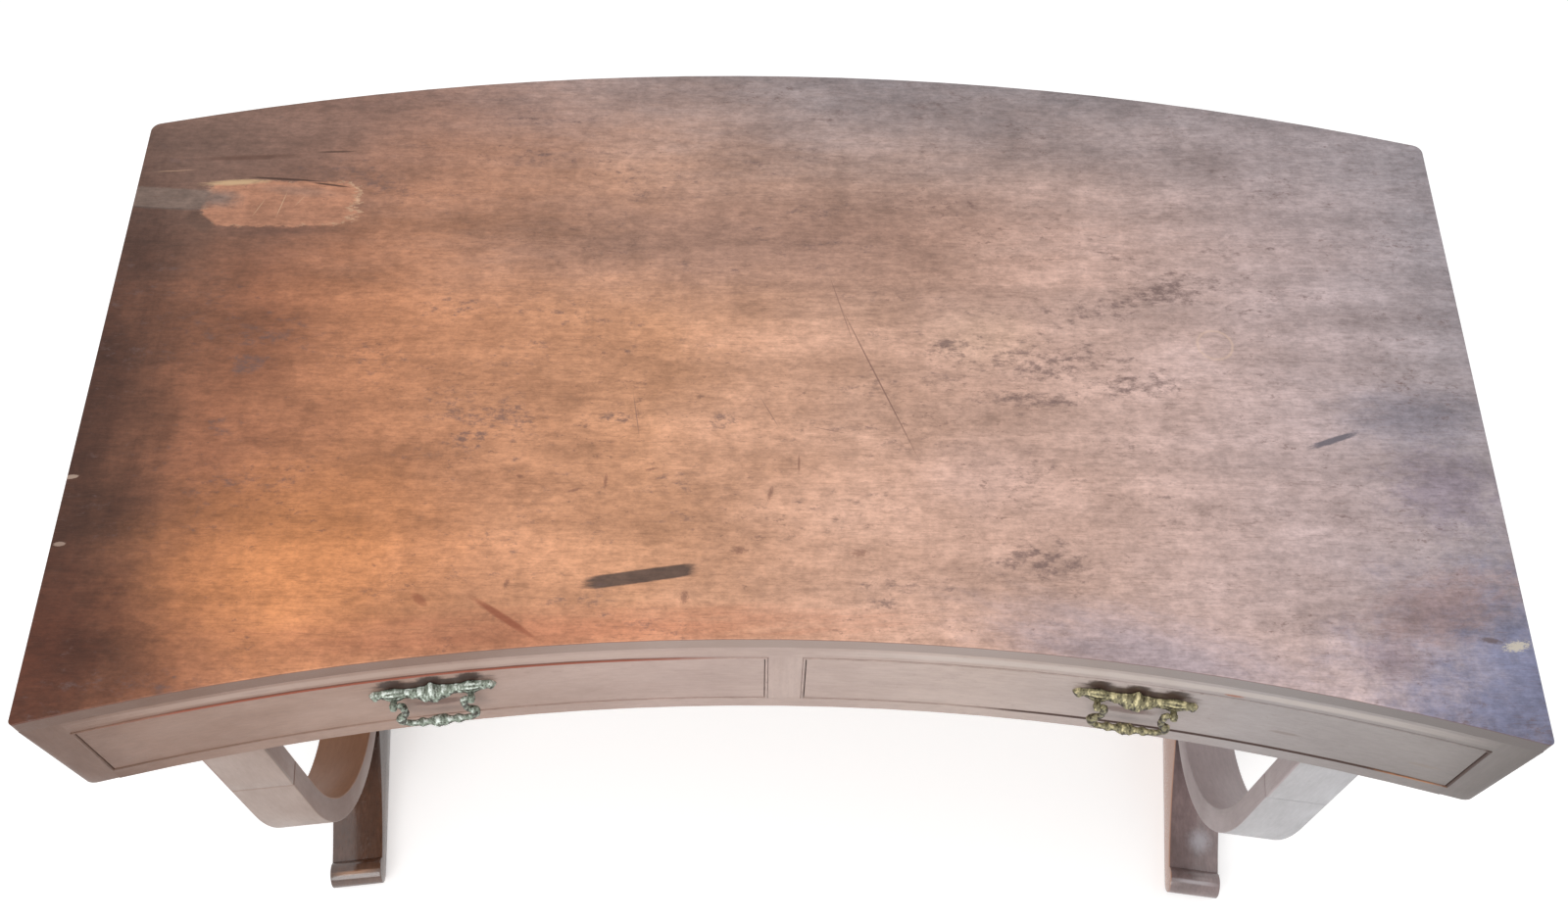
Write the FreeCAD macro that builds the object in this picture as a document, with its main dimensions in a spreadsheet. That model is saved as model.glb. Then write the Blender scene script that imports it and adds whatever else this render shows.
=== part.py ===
"""Concave-fronted writing desk: a frieze with two drawers on a pair of U-shaped trestles.

Frame: +Z up, millimetres. The origin is on the floor, under the middle of the desk's box.
The sitter is on the -Y side, where the front curves inwards, and both drawers open towards -Y.
"""
import FreeCAD, Part
import Sketcher
import math
import os
from FreeCAD import Rotation, Vector

doc = FreeCAD.newDocument("writing_desk")
sheet = doc.addObject("Spreadsheet::Sheet", "Sizes")

# Driving dimensions
SIZES = {
    # plan of the top: two arcs joined by straight, flared ends
    "front_half": 738,
    "front_radius": 2740,
    "back_half": 791,
    "back_radius": 3018,
    "depth_mid": 791,
    "desk_height": 762,
    # top board
    "top_thick": 20,
    "top_overhang": 2,
    "back_corner": 13,
    "front_corner": 5,
    "rim_round": 1.5,
    # case
    "case_height": 153,
    "end_thick": 22,
    "apron_thick": 20,
    "face_thick": 22,
    "rail_depth": 60,
    "upper_rail": 24,
    "lower_rail": 22,
    "post_half": 17.5,
    "stile_width": 37,
    # drawer running gear
    "runner_thick": 10,
    "runner_width": 45,
    "centre_runner_half": 60,
    "guide_width": 14,
    "guide_high": 18,
    "kicker_width": 30,
    "bearer_width": 92,
    "stop_long": 50,
    "stop_deep": 20,
    "stop_high": 5,
    # drawers
    "drawer_gap": 1.2,
    "seat_gap": 0.3,
    "drawer_front_thick": 22,
    "drawer_deep": 520,
    "side_thick": 11,
    "side_high": 102,
    "bottom_thick": 6,
    "bottom_raise": 8,
    "groove_deep": 5,
    "bead_thick": 3,
    "bead_deep": 11,
    "bead_proud": 2,
    # trestles
    "leg_inset": 101.3,
    "leg_clear": 10,
    "leg_behind": 317,
    "leg_yaw": 7,
    "leg_width": 70,
    "yoke_half": 380,
    "yoke_radius": 310,
    "yoke_thick": 30,
    "yoke_bottom": 74,
    "stub_share": 0.425,
    "scroll_reach": 348,
    "scroll_radius": 18,
    "neck_high": 27,
    "seat_half": 157,
    "slope_hollow": 7.5,
    # fixings
    "dowel_radius": 5,
    "dowel_half": 28,
    "dowel_spacing": 36,
    "screw_radius": 2.5,
    "screw_head": 5,
    "screw_head_thick": 3,
    "screw_sink": 0.5,
    "screw_grip": 35,
    "screw_spacing": 20,
    "bolt_radius": 4,
    "bolt_head": 9,
    "bolt_head_thick": 6,
    "bolt_sink": 3,
    "bolt_grip": 20,
    "bolt_spacing": 90,
    # drawer pulls
    "pull_shift": 3,
    "pull_drop": 78,
    "plate_half": 64.5,
    "plate_crest": 18,
    "plate_crest_half": 12,
    "plate_waist": 10,
    "plate_lobe": 13,
    "plate_lobe_half": 10,
    "plate_neck": 6.5,
    "plate_tip": 3.5,
    "plate_tip_long": 3,
    "plate_thick": 3.2,
    "pivot_spacing": 78,
    "pivot_stand": 16,
    "shank_radius": 2.6,
    "eye_radius": 5.5,
    "eye_long": 6,
    "pin_radius": 2.1,
    "pin_gap": 0.08,
    "bail_radius": 3.2,
    "bail_gap": 1,
    "bail_shoulder": 4.5,
    "bail_neck": 10,
    "bail_bow": 12,
    "bail_flare": 50,
    "bail_drop": 48,
    "bail_knop": 6.5,
    "bail_knop_half": 9,
    "bail_collar": 0.6,
    "bail_ring": 4.4,
    "bail_ring_half": 2.2,
    "bail_ring_place": 19,
    "nut_radius": 6,
    "nut_thick": 4,
    "shank_tail": 2,
}
for row, (alias, value) in enumerate(SIZES.items(), start=1):
    sheet.set(f"A{row}", alias)
    sheet.set(f"B{row}", str(value))
    sheet.setAlias(f"B{row}", alias)
doc.recompute()


def size(alias):
    """A driving dimension, read back from the sheet."""
    return float(sheet.get(alias))


# Derived places, as expressions on the sheet
FRONT_SAG = "(Sizes.front_radius - sqrt(Sizes.front_radius^2 - Sizes.front_half^2))"
BACK_SAG = "(Sizes.back_radius - sqrt(Sizes.back_radius^2 - Sizes.back_half^2))"
FRONT_Y = f"(({FRONT_SAG} - Sizes.depth_mid) / 2)"
BACK_Y = f"({FRONT_Y} + Sizes.depth_mid)"
FRONT_CORNER_Y = f"({FRONT_Y} - {FRONT_SAG})"
BACK_CORNER_Y = f"({BACK_Y} - {BACK_SAG})"
FRONT_CENTRE_Y = f"({FRONT_Y} - Sizes.front_radius)"
BACK_CENTRE_Y = f"({BACK_Y} - Sizes.back_radius)"
FLARE = f"((Sizes.back_half - Sizes.front_half) / ({BACK_CORNER_Y} - {FRONT_CORNER_Y}))"
CASE_TOP = "(Sizes.desk_height - Sizes.top_thick)"
CASE_BOTTOM = f"({CASE_TOP} - Sizes.case_height)"
OPENING_BOTTOM = f"({CASE_BOTTOM} + Sizes.lower_rail)"
OPENING_TOP = f"({CASE_TOP} - Sizes.upper_rail)"
CASE_FRONT_HALF = "(Sizes.front_half - Sizes.top_overhang)"
OPENING_OUTER = f"({CASE_FRONT_HALF} - Sizes.stile_width)"
CASE_BACK_HALF = f"({CASE_FRONT_HALF} + {FLARE} * ({BACK_Y} - {FRONT_CORNER_Y}))"
BOX_OUTER = f"({OPENING_OUTER} + min(0; {CASE_BACK_HALF} - {CASE_FRONT_HALF}))"
BACK_FACE = "(Sizes.back_radius - Sizes.top_overhang)"
APRON_INNER = f"({BACK_FACE} - Sizes.apron_thick)"
FRONT_FACE = "Sizes.front_radius"
BEHIND_FACE = "(Sizes.front_radius + Sizes.face_thick)"
BEHIND_RAIL = "(Sizes.front_radius + Sizes.rail_depth)"
BEHIND_DRAWER_FRONT = "(Sizes.front_radius + Sizes.drawer_front_thick)"
BEARER_TOP = f"({OPENING_BOTTOM} - Sizes.runner_thick)"
DRAWER_FOOT = f"({OPENING_BOTTOM} + Sizes.seat_gap)"
DRAWER_TOP = f"({OPENING_TOP} - Sizes.drawer_gap)"
DRAWER_INNER = "(Sizes.post_half + Sizes.drawer_gap)"
DRAWER_OUTER = f"({OPENING_OUTER} - Sizes.drawer_gap)"
DRAWER_BOX_OUTER = f"({BOX_OUTER} - Sizes.drawer_gap)"
PULL_ASIDE = f"((Sizes.post_half + {OPENING_OUTER}) / 2 + Sizes.pull_shift)"
BEARER_REACH = "(Sizes.yoke_half * sin(Sizes.leg_yaw) + Sizes.bearer_width / 2 + Sizes.leg_clear)"
LEG_BACK_LIMIT = f"({CASE_BACK_HALF} - Sizes.end_thick - {BEARER_REACH})"
LEG_ASIDE = f"min(Sizes.front_half - Sizes.leg_inset; {LEG_BACK_LIMIT})"
YOKE_SPRING = "(Sizes.yoke_bottom + Sizes.yoke_radius)"
ARM_JOINT = f"({YOKE_SPRING} + ({CASE_BOTTOM} - {YOKE_SPRING}) * Sizes.stub_share)"
PLATE_BACK = "(Sizes.front_radius - sqrt(Sizes.front_radius^2 - Sizes.plate_half^2))"

pieces = {}


def keep(node, obj):
    """Names a finished sub-part."""
    obj.Label = node
    pieces[node] = obj
    return obj


def bind(obj, **expressions):
    """Ties properties of an object to expressions on the sheet; a double underscore is a dot."""
    for name, expression in expressions.items():
        obj.setExpression(name.replace("__", "."), expression)
    return obj


def at(obj, x, y, z):
    """Ties an object's position to expressions on the sheet."""
    return bind(obj, Placement__Base__x=x, Placement__Base__y=y, Placement__Base__z=z)


def mirrored(sign, near, far):
    """The span between two distances from the middle plane, on the right (+1) or the left (-1)."""
    if sign > 0:
        return near, far
    return f"-({far})", f"-({near})"


def box(name, across, along, upward):
    """A block between expressions for its three pairs of faces."""
    obj = doc.addObject("Part::Box", name)
    bind(obj, Length=f"{across[1]} - ({across[0]})")
    bind(obj, Width=f"{along[1]} - ({along[0]})")
    bind(obj, Height=f"{upward[1]} - ({upward[0]})")
    return at(obj, across[0], along[0], upward[0])


def pin(name, radius, x, y, upward):
    """An upright round pin."""
    obj = doc.addObject("Part::Cylinder", name)
    bind(obj, Radius=radius, Height=f"{upward[1]} - ({upward[0]})")
    return at(obj, x, y, upward[0])


def front_disc(name, radius, upward):
    """Everything in front of a curve concentric with the desk's front."""
    return pin(name, radius, "0", FRONT_CENTRE_Y, upward)


def back_disc(name, radius, upward):
    """Everything in front of a curve concentric with the desk's back."""
    return pin(name, radius, "0", BACK_CENTRE_Y, upward)


def flared(name, front, back, along, upward):
    """A block between two flared ends, over a stretch of the desk's depth."""
    obj = doc.addObject("Part::Wedge", name)
    bind(obj, Xmin=front[0], Xmax=front[1], X2min=back[0], X2max=back[1])
    bind(obj, Ymin=along[0], Ymax=along[1])
    bind(obj, Zmin=upward[0], Zmax=upward[1], Z2min=upward[0], Z2max=upward[1])
    return obj


def cut(name, base, tool):
    """base without tool."""
    obj = doc.addObject("Part::Cut", name)
    obj.Base = base
    obj.Tool = tool
    return obj


def common(name, base, tool):
    """What base and tool share."""
    obj = doc.addObject("Part::Common", name)
    obj.Base = base
    obj.Tool = tool
    return obj


def fuse(name, base, tool):
    """base and tool as one."""
    obj = doc.addObject("Part::Fuse", name)
    obj.Base = base
    obj.Tool = tool
    return obj


def group(name, members):
    """Separate solids held together as one object."""
    obj = doc.addObject("Part::Compound", name)
    obj.Links = members
    return obj


def curved(name, block, inner, outer, upward):
    """A block cut to a board that follows the front's curve between two radii."""
    whole = front_disc(name + "_outer", outer, upward)
    ring = cut(name + "_ring", whole, front_disc(name + "_inner", inner, upward))
    return common(name, ring, block)


def within_case(name, block, upward):
    """A block fitted between the front rail's back and the rear apron."""
    reach = common(name + "_reach", block, back_disc(name + "_apron", APRON_INNER, upward))
    return cut(name, reach, front_disc(name + "_rail", BEHIND_RAIL, upward))


CASE_DEPTH = (FRONT_CORNER_Y, BACK_Y)


# Sketches
def sketch_on(body, name, role):
    """A sketch on one of a body's own planes."""
    sketch = body.newObject("Sketcher::SketchObject", name)
    plane = next(f for f in body.Origin.OriginFeatures if f.Role == role)
    sketch.AttachmentSupport = [(plane, "")]
    sketch.MapMode = "FlatFace"
    return sketch


def outline(sketch, edges):
    """Adds edges end to end as a closed outline."""
    numbers = sketch.addGeometry(edges)
    tips = [(sketch.getPoint(n, 1), sketch.getPoint(n, 2)) for n in numbers]
    for i, number in enumerate(numbers):
        j = (i + 1) % len(numbers)
        choices = [(a, b) for a in (0, 1) for b in (0, 1)]
        a, b = min(choices, key=lambda c: tips[i][c[0]].distanceToPoint(tips[j][c[1]]))
        sketch.addConstraint(Sketcher.Constraint("Coincident", number, a + 1, numbers[j], b + 1))
    return numbers


def dimension(sketch, name, expression, kind, *where):
    """A named dimension of a sketch, tied to an expression on the sheet."""
    number = sketch.addConstraint(Sketcher.Constraint(kind, *where))
    sketch.renameConstraint(number, name)
    sketch.setExpression("Constraints." + name, expression)


def flat(x, y):
    """A point in a sketch."""
    return Vector(x, y, 0)


def other_side(point):
    """The point mirrored across a sketch's upright axis."""
    return Vector(-point.x, point.y, 0)


# Top board
def build_top():
    """The top: two arcs and two flared ends, with rounded corners and an eased rim."""
    body = doc.addObject("PartDesign::Body", "TopBody")
    sketch = sketch_on(body, "TopOutline", "XY_Plane")
    front_sag = size("front_radius") - math.sqrt(size("front_radius") ** 2 - size("front_half") ** 2)
    back_sag = size("back_radius") - math.sqrt(size("back_radius") ** 2 - size("back_half") ** 2)
    front_mid = (front_sag - size("depth_mid")) / 2
    back_mid = front_mid + size("depth_mid")
    front = flat(size("front_half"), front_mid - front_sag)
    back = flat(size("back_half"), back_mid - back_sag)
    front_arc = Part.Arc(front, flat(0, front_mid), other_side(front))
    left_end = Part.LineSegment(other_side(front), other_side(back))
    back_arc = Part.Arc(other_side(back), flat(0, back_mid), back)
    right_end = Part.LineSegment(back, front)
    edges = outline(sketch, [front_arc, left_end, back_arc, right_end])
    dimension(sketch, "front_curve", "Sizes.front_radius", "Radius", edges[0], size("front_radius"))
    dimension(sketch, "back_curve", "Sizes.back_radius", "Radius", edges[2], size("back_radius"))
    dimension(sketch, "right_front_x", "Sizes.front_half", "DistanceX", -1, 1, edges[3], 2, front.x)
    dimension(sketch, "left_front_x", "-Sizes.front_half", "DistanceX", -1, 1, edges[1], 1, -front.x)
    dimension(sketch, "right_back_x", "Sizes.back_half", "DistanceX", -1, 1, edges[3], 1, back.x)
    dimension(sketch, "left_back_x", "-Sizes.back_half", "DistanceX", -1, 1, edges[1], 2, -back.x)
    dimension(sketch, "right_front_y", FRONT_CORNER_Y, "DistanceY", -1, 1, edges[3], 2, front.y)
    dimension(sketch, "left_front_y", FRONT_CORNER_Y, "DistanceY", -1, 1, edges[1], 1, front.y)
    dimension(sketch, "right_back_y", BACK_CORNER_Y, "DistanceY", -1, 1, edges[3], 1, back.y)
    dimension(sketch, "left_back_y", BACK_CORNER_Y, "DistanceY", -1, 1, edges[1], 2, back.y)
    pad = body.newObject("PartDesign::Pad", "TopPad")
    pad.Profile = sketch
    bind(pad, Length="Sizes.top_thick")
    doc.recompute()
    back_round = round_uprights(body, pad, "BackCorners", back, "Sizes.back_corner")
    front_round = round_uprights(body, back_round, "FrontCorners", front, "Sizes.front_corner")
    rim = []
    for i, edge in enumerate(front_round.Shape.Edges, start=1):
        if edge.BoundBox.ZMin > size("top_thick") - 0.01:
            rim.append(f"Edge{i}")
    easing = body.newObject("PartDesign::Fillet", "Rim")
    easing.Base = (front_round, rim)
    bind(easing, Radius="Sizes.rim_round")
    bind(body, Placement__Base__z=CASE_TOP)
    keep("top_board", body)


def round_uprights(body, base, name, corner, radius):
    """Rounds the two upright edges at a corner and at its mirror image."""
    chosen = []
    for i, edge in enumerate(base.Shape.Edges, start=1):
        middle = edge.CenterOfMass
        if abs(abs(middle.x) - corner.x) < 0.5 and abs(middle.y - corner.y) < 0.5:
            chosen.append(f"Edge{i}")
    rounding = body.newObject("PartDesign::Fillet", name)
    rounding.Base = (base, chosen)
    bind(rounding, Radius=radius)
    doc.recompute()
    return rounding


# Case
def build_case():
    """The carcase under the top: ends, rear apron, and the flush front frame of rails and stiles."""
    upward = (CASE_BOTTOM, CASE_TOP)
    inner_front = f"({CASE_FRONT_HALF} - Sizes.end_thick)"
    inner_back = f"({CASE_BACK_HALF} - Sizes.end_thick)"
    for side, sign in (("left", -1), ("right", 1)):
        slab_front = mirrored(sign, inner_front, CASE_FRONT_HALF)
        slab_back = mirrored(sign, inner_back, CASE_BACK_HALF)
        slab = flared(f"EndSlab_{side}", slab_front, slab_back, CASE_DEPTH, upward)
        trimmed = common(f"EndTrim_{side}", slab, back_disc(f"EndReach_{side}", BACK_FACE, upward))
        nose = front_disc(f"EndNose_{side}", BEHIND_FACE, upward)
        keep(f"end_panel_{side}", cut(f"EndPanel_{side}", trimmed, nose))
        stile_front = mirrored(sign, OPENING_OUTER, CASE_FRONT_HALF)
        stile_back = mirrored(sign, OPENING_OUTER, f"({CASE_FRONT_HALF} + {FLARE} * Sizes.rail_depth)")
        behind = (FRONT_CORNER_Y, f"({FRONT_CORNER_Y} + Sizes.rail_depth)")
        block = flared(f"StileBlock_{side}", stile_front, stile_back, behind, upward)
        keep(f"end_stile_{side}", curved(f"EndStile_{side}", block, FRONT_FACE, BEHIND_FACE, upward))
    between_front = (f"-{inner_front}", inner_front)
    between_back = (f"-{inner_back}", inner_back)
    between = flared("ApronBlock", between_front, between_back, CASE_DEPTH, upward)
    outer = back_disc("ApronOuter", BACK_FACE, upward)
    ring = cut("ApronRing", outer, back_disc("ApronInner", APRON_INNER, upward))
    keep("rear_apron", common("RearApron", ring, between))
    across = (f"-{OPENING_OUTER}", OPENING_OUTER)
    upper = (OPENING_TOP, CASE_TOP)
    block = box("UpperRailBlock", across, CASE_DEPTH, upper)
    keep("front_upper_rail", curved("UpperRail", block, FRONT_FACE, BEHIND_RAIL, upper))
    lower = (CASE_BOTTOM, OPENING_BOTTOM)
    block = box("LowerRailBlock", across, CASE_DEPTH, lower)
    lower_rail = curved("LowerRail", block, FRONT_FACE, BEHIND_RAIL, lower)
    middle = (OPENING_BOTTOM, OPENING_TOP)
    block = box("PostBlock", ("-Sizes.post_half", "Sizes.post_half"), CASE_DEPTH, middle)
    keep("centre_post", curved("CentrePost", block, FRONT_FACE, BEHIND_FACE, middle))
    return lower_rail


# Drawer running gear
def strip(node, across, upward):
    """A straight strip running from the front rail to the rear apron."""
    block = box(node + "_block", across, CASE_DEPTH, upward)
    keep(node, within_case(node + "_strip", block, upward))


def build_running_gear():
    """Runners and guides under the drawers, kickers above them, and stops behind their fronts."""
    runner = (BEARER_TOP, OPENING_BOTTOM)
    guide = (OPENING_BOTTOM, f"({OPENING_BOTTOM} + Sizes.guide_high)")
    kicker = (OPENING_TOP, CASE_TOP)
    outside = f"({BOX_OUTER} + Sizes.guide_width)"
    for side, sign in (("left", -1), ("right", 1)):
        strip(f"runner_{side}", mirrored(sign, f"({outside} - Sizes.runner_width)", outside), runner)
        strip(f"guide_{side}", mirrored(sign, BOX_OUTER, outside), guide)
        kick_in = f"({BOX_OUTER} - Sizes.kicker_width)"
        strip(f"kicker_{side}", mirrored(sign, kick_in, BOX_OUTER), kicker)
    strip("runner_centre", ("-Sizes.centre_runner_half", "Sizes.centre_runner_half"), runner)
    strip("guide_centre", ("-Sizes.post_half", "Sizes.post_half"), guide)
    strip("kicker_centre", ("-Sizes.centre_runner_half", "Sizes.centre_runner_half"), kicker)
    upward = (OPENING_BOTTOM, f"({OPENING_BOTTOM} + Sizes.stop_high)")
    front = f"({BEHIND_DRAWER_FRONT} + Sizes.seat_gap)"
    stops = []
    for side, sign in (("left", -1), ("right", 1)):
        for share, place in (("1", "inner"), ("3", "outer")):
            middle = f"(Sizes.post_half + ({OPENING_OUTER} - Sizes.post_half) * {share} / 4)"
            across = mirrored(sign, f"({middle} - Sizes.stop_long / 2)", f"({middle} + Sizes.stop_long / 2)")
            block = box(f"StopBlock_{side}_{place}", across, CASE_DEPTH, upward)
            back = f"({front} + Sizes.stop_deep)"
            stops.append(curved(f"Stop_{side}_{place}", block, front, back, upward))
    keep("drawer_stops", group("DrawerStops", stops))


# Trestles
def draw_yoke(sketch):
    """A U: two short straight stubs, two quarter bends and a flat bottom, all one thickness."""
    half = size("yoke_half")
    thick = size("yoke_thick")
    radius = size("yoke_radius")
    bottom = size("yoke_bottom")
    spring = bottom + radius
    case_bottom = size("desk_height") - size("top_thick") - size("case_height")
    joint = spring + (case_bottom - spring) * size("stub_share")
    turn = half - radius
    inner = half - thick
    inner_radius = radius - thick
    slant = math.sqrt(0.5)
    outer_bend = flat(turn + radius * slant, spring - radius * slant)
    inner_bend = flat(turn + inner_radius * slant, spring - inner_radius * slant)
    edges = [
        Part.LineSegment(flat(-half, joint), flat(-half, spring)),
        Part.Arc(flat(-half, spring), other_side(outer_bend), flat(-turn, bottom)),
        Part.LineSegment(flat(-turn, bottom), flat(turn, bottom)),
        Part.Arc(flat(turn, bottom), outer_bend, flat(half, spring)),
        Part.LineSegment(flat(half, spring), flat(half, joint)),
        Part.LineSegment(flat(half, joint), flat(inner, joint)),
        Part.LineSegment(flat(inner, joint), flat(inner, spring)),
        Part.Arc(flat(inner, spring), inner_bend, flat(turn, bottom + thick)),
        Part.LineSegment(flat(turn, bottom + thick), flat(-turn, bottom + thick)),
        Part.Arc(flat(-turn, bottom + thick), other_side(inner_bend), flat(-inner, spring)),
        Part.LineSegment(flat(-inner, spring), flat(-inner, joint)),
        Part.LineSegment(flat(-inner, joint), flat(-half, joint)),
    ]
    n = outline(sketch, edges)
    inner_curve = "Sizes.yoke_radius - Sizes.yoke_thick"
    dimension(sketch, "front_bend", "Sizes.yoke_radius", "Radius", n[1], radius)
    dimension(sketch, "back_bend", "Sizes.yoke_radius", "Radius", n[3], radius)
    dimension(sketch, "back_inner_bend", inner_curve, "Radius", n[7], inner_radius)
    dimension(sketch, "front_inner_bend", inner_curve, "Radius", n[9], inner_radius)
    dimension(sketch, "bottom", "Sizes.yoke_bottom", "DistanceY", -1, 1, n[2], 1, bottom)
    dimension(sketch, "joint", ARM_JOINT, "DistanceY", -1, 1, n[0], 1, joint)
    dimension(sketch, "half", "Sizes.yoke_half", "DistanceX", -1, 1, n[4], 2, half)


def draw_base(sketch):
    """A foot flat on the floor: rolled scrolls at its ends, hollow slopes and a raised flat seat."""
    reach = size("scroll_reach")
    radius = size("scroll_radius")
    neck_high = size("neck_high")
    seat = flat(size("seat_half"), size("yoke_bottom"))
    neck = flat(reach - math.sqrt(radius**2 - (neck_high - radius) ** 2), neck_high)
    slope = flat((neck.x + seat.x) / 2, (neck.y + seat.y) / 2 - size("slope_hollow"))
    toe = flat(reach, 0)
    roll = flat(reach + radius, radius)
    edges = [
        Part.LineSegment(other_side(toe), toe),
        Part.Arc(toe, roll, neck),
        Part.Arc(neck, slope, seat),
        Part.LineSegment(seat, other_side(seat)),
        Part.Arc(other_side(seat), other_side(slope), other_side(neck)),
        Part.Arc(other_side(neck), other_side(roll), other_side(toe)),
    ]
    n = outline(sketch, edges)
    dimension(sketch, "back_roll", "Sizes.scroll_radius", "Radius", n[1], radius)
    dimension(sketch, "front_roll", "Sizes.scroll_radius", "Radius", n[5], radius)
    dimension(sketch, "seat_high", "Sizes.yoke_bottom", "DistanceY", -1, 1, n[3], 1, seat.y)
    dimension(sketch, "seat_reach", "Sizes.seat_half", "DistanceX", -1, 1, n[3], 1, seat.x)
    dimension(sketch, "toe_reach", "Sizes.scroll_reach", "DistanceX", -1, 1, n[0], 2, reach)


def bent_board(name, draw):
    """A board as wide as the leg, its outline drawn in the trestle's upright plane."""
    body = doc.addObject("PartDesign::Body", name)
    sketch = sketch_on(body, name + "_outline", "YZ_Plane")
    draw(sketch)
    pad = body.newObject("PartDesign::Pad", name + "_pad")
    pad.Profile = sketch
    pad.Midplane = True
    bind(pad, Length="Sizes.leg_width")
    return body


def under_case(obj, sign):
    """Turns a trestle's piece to its own direction and moves it under the case."""
    turn = "-Sizes.leg_yaw" if sign > 0 else "Sizes.leg_yaw"
    aside = LEG_ASIDE if sign > 0 else f"-{LEG_ASIDE}"
    obj.Placement.Rotation = Rotation(Vector(0, 0, 1), -sign * size("leg_yaw"))
    bind(obj, Placement__Rotation__Yaw=turn)
    return at(obj, aside, f"{FRONT_Y} + Sizes.leg_behind", "0")


def wood_screw(name, x, y, top):
    """A countersunk screw driven down into an arm."""
    neck = f"({top} - Sizes.screw_sink - Sizes.screw_head_thick)"
    shank = pin(name + "_shank", "Sizes.screw_radius", x, y, (f"({CASE_BOTTOM} - Sizes.screw_grip)", neck))
    head = doc.addObject("Part::Cone", name + "_head")
    bind(head, Radius1="Sizes.screw_radius", Radius2="Sizes.screw_head", Height="Sizes.screw_head_thick")
    at(head, x, y, neck)
    return fuse(name, shank, head)


def base_bolt(name, y):
    """A bolt from the foot's underside up into the yoke, with the bore for its head."""
    head_top = "(Sizes.bolt_sink + Sizes.bolt_head_thick)"
    shank_top = "(Sizes.yoke_bottom + Sizes.bolt_grip)"
    shank = pin(name + "_shank", "Sizes.bolt_radius", "0", y, (head_top, shank_top))
    head = pin(name + "_head", "Sizes.bolt_head", "0", y, ("Sizes.bolt_sink", head_top))
    bore = pin(name + "_bore", "Sizes.bolt_head", "0", y, ("0", head_top))
    return fuse(name, shank, head), bore


def build_trestle(side, sign):
    """One trestle: a yoke bolted to a scrolled base, and two arms dowelled on and screwed to the case."""
    yoke = bent_board(f"YokeBody_{side}", draw_yoke)
    base = bent_board(f"BaseBody_{side}", draw_base)
    inside = "(Sizes.yoke_half - Sizes.yoke_thick)"
    middle = "(Sizes.yoke_half - Sizes.yoke_thick / 2)"
    across = ("-Sizes.leg_width / 2", "Sizes.leg_width / 2")
    dowels = []
    screws = []
    arms = {}
    for end, way in (("front", -1), ("back", 1)):
        name = f"{end}_{side}"
        along = mirrored(way, inside, "Sizes.yoke_half")
        arms[end] = box(f"ArmBlock_{name}", across, along, (ARM_JOINT, CASE_BOTTOM))
        y = middle if way > 0 else f"-{middle}"
        top = BEARER_TOP if way > 0 else OPENING_BOTTOM
        upward = (f"({ARM_JOINT} - Sizes.dowel_half)", f"({ARM_JOINT} + Sizes.dowel_half)")
        for hand, way in (("a", "-"), ("b", "")):
            x = f"{way}Sizes.dowel_spacing / 2"
            dowels.append(pin(f"Dowel_{name}_{hand}", "Sizes.dowel_radius", x, y, upward))
            screws.append(wood_screw(f"Screw_{name}_{hand}", f"{way}Sizes.screw_spacing / 2", y, top))
    front_bolt, front_bore = base_bolt(f"Bolt_front_{side}", "-Sizes.bolt_spacing / 2")
    back_bolt, back_bore = base_bolt(f"Bolt_back_{side}", "Sizes.bolt_spacing / 2")
    dowel_set = group(f"DowelSet_{side}", dowels)
    screw_set = group(f"ScrewSet_{side}", screws)
    bolt_set = group(f"BoltSet_{side}", [front_bolt, back_bolt])
    bore_set = group(f"BoreSet_{side}", [front_bolt, back_bolt, front_bore, back_bore])
    yoke_holes = group(f"YokeHoles_{side}", dowels + [front_bolt, back_bolt])
    arm_holes = group(f"ArmHoles_{side}", dowels + screws)
    keep(f"yoke_{side}", under_case(cut(f"Yoke_{side}", yoke, yoke_holes), sign))
    keep(f"trestle_base_{side}", under_case(cut(f"Base_{side}", base, bore_set), sign))
    for end, arm in arms.items():
        keep(f"{end}_arm_{side}", under_case(cut(f"Arm_{end}_{side}", arm, arm_holes), sign))
    keep(f"arm_dowels_{side}", under_case(group(f"Dowels_{side}", [dowel_set]), sign))
    keep(f"base_bolts_{side}", under_case(group(f"Bolts_{side}", [bolt_set]), sign))
    driven = keep(f"arm_screws_{side}", under_case(group(f"Screws_{side}", [screw_set]), sign))
    upward = (CASE_BOTTOM, BEARER_TOP)
    wide = ("-Sizes.bearer_width / 2", "Sizes.bearer_width / 2")
    plank = box(f"BearerPlank_{side}", wide, ("-Sizes.depth_mid", "Sizes.depth_mid"), upward)
    turned = under_case(group(f"BearerTurned_{side}", [plank]), sign)
    fitted = within_case(f"BearerFitted_{side}", turned, upward)
    keep(f"leg_bearer_{side}", cut(f"Bearer_{side}", fitted, driven))
    return driven


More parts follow.
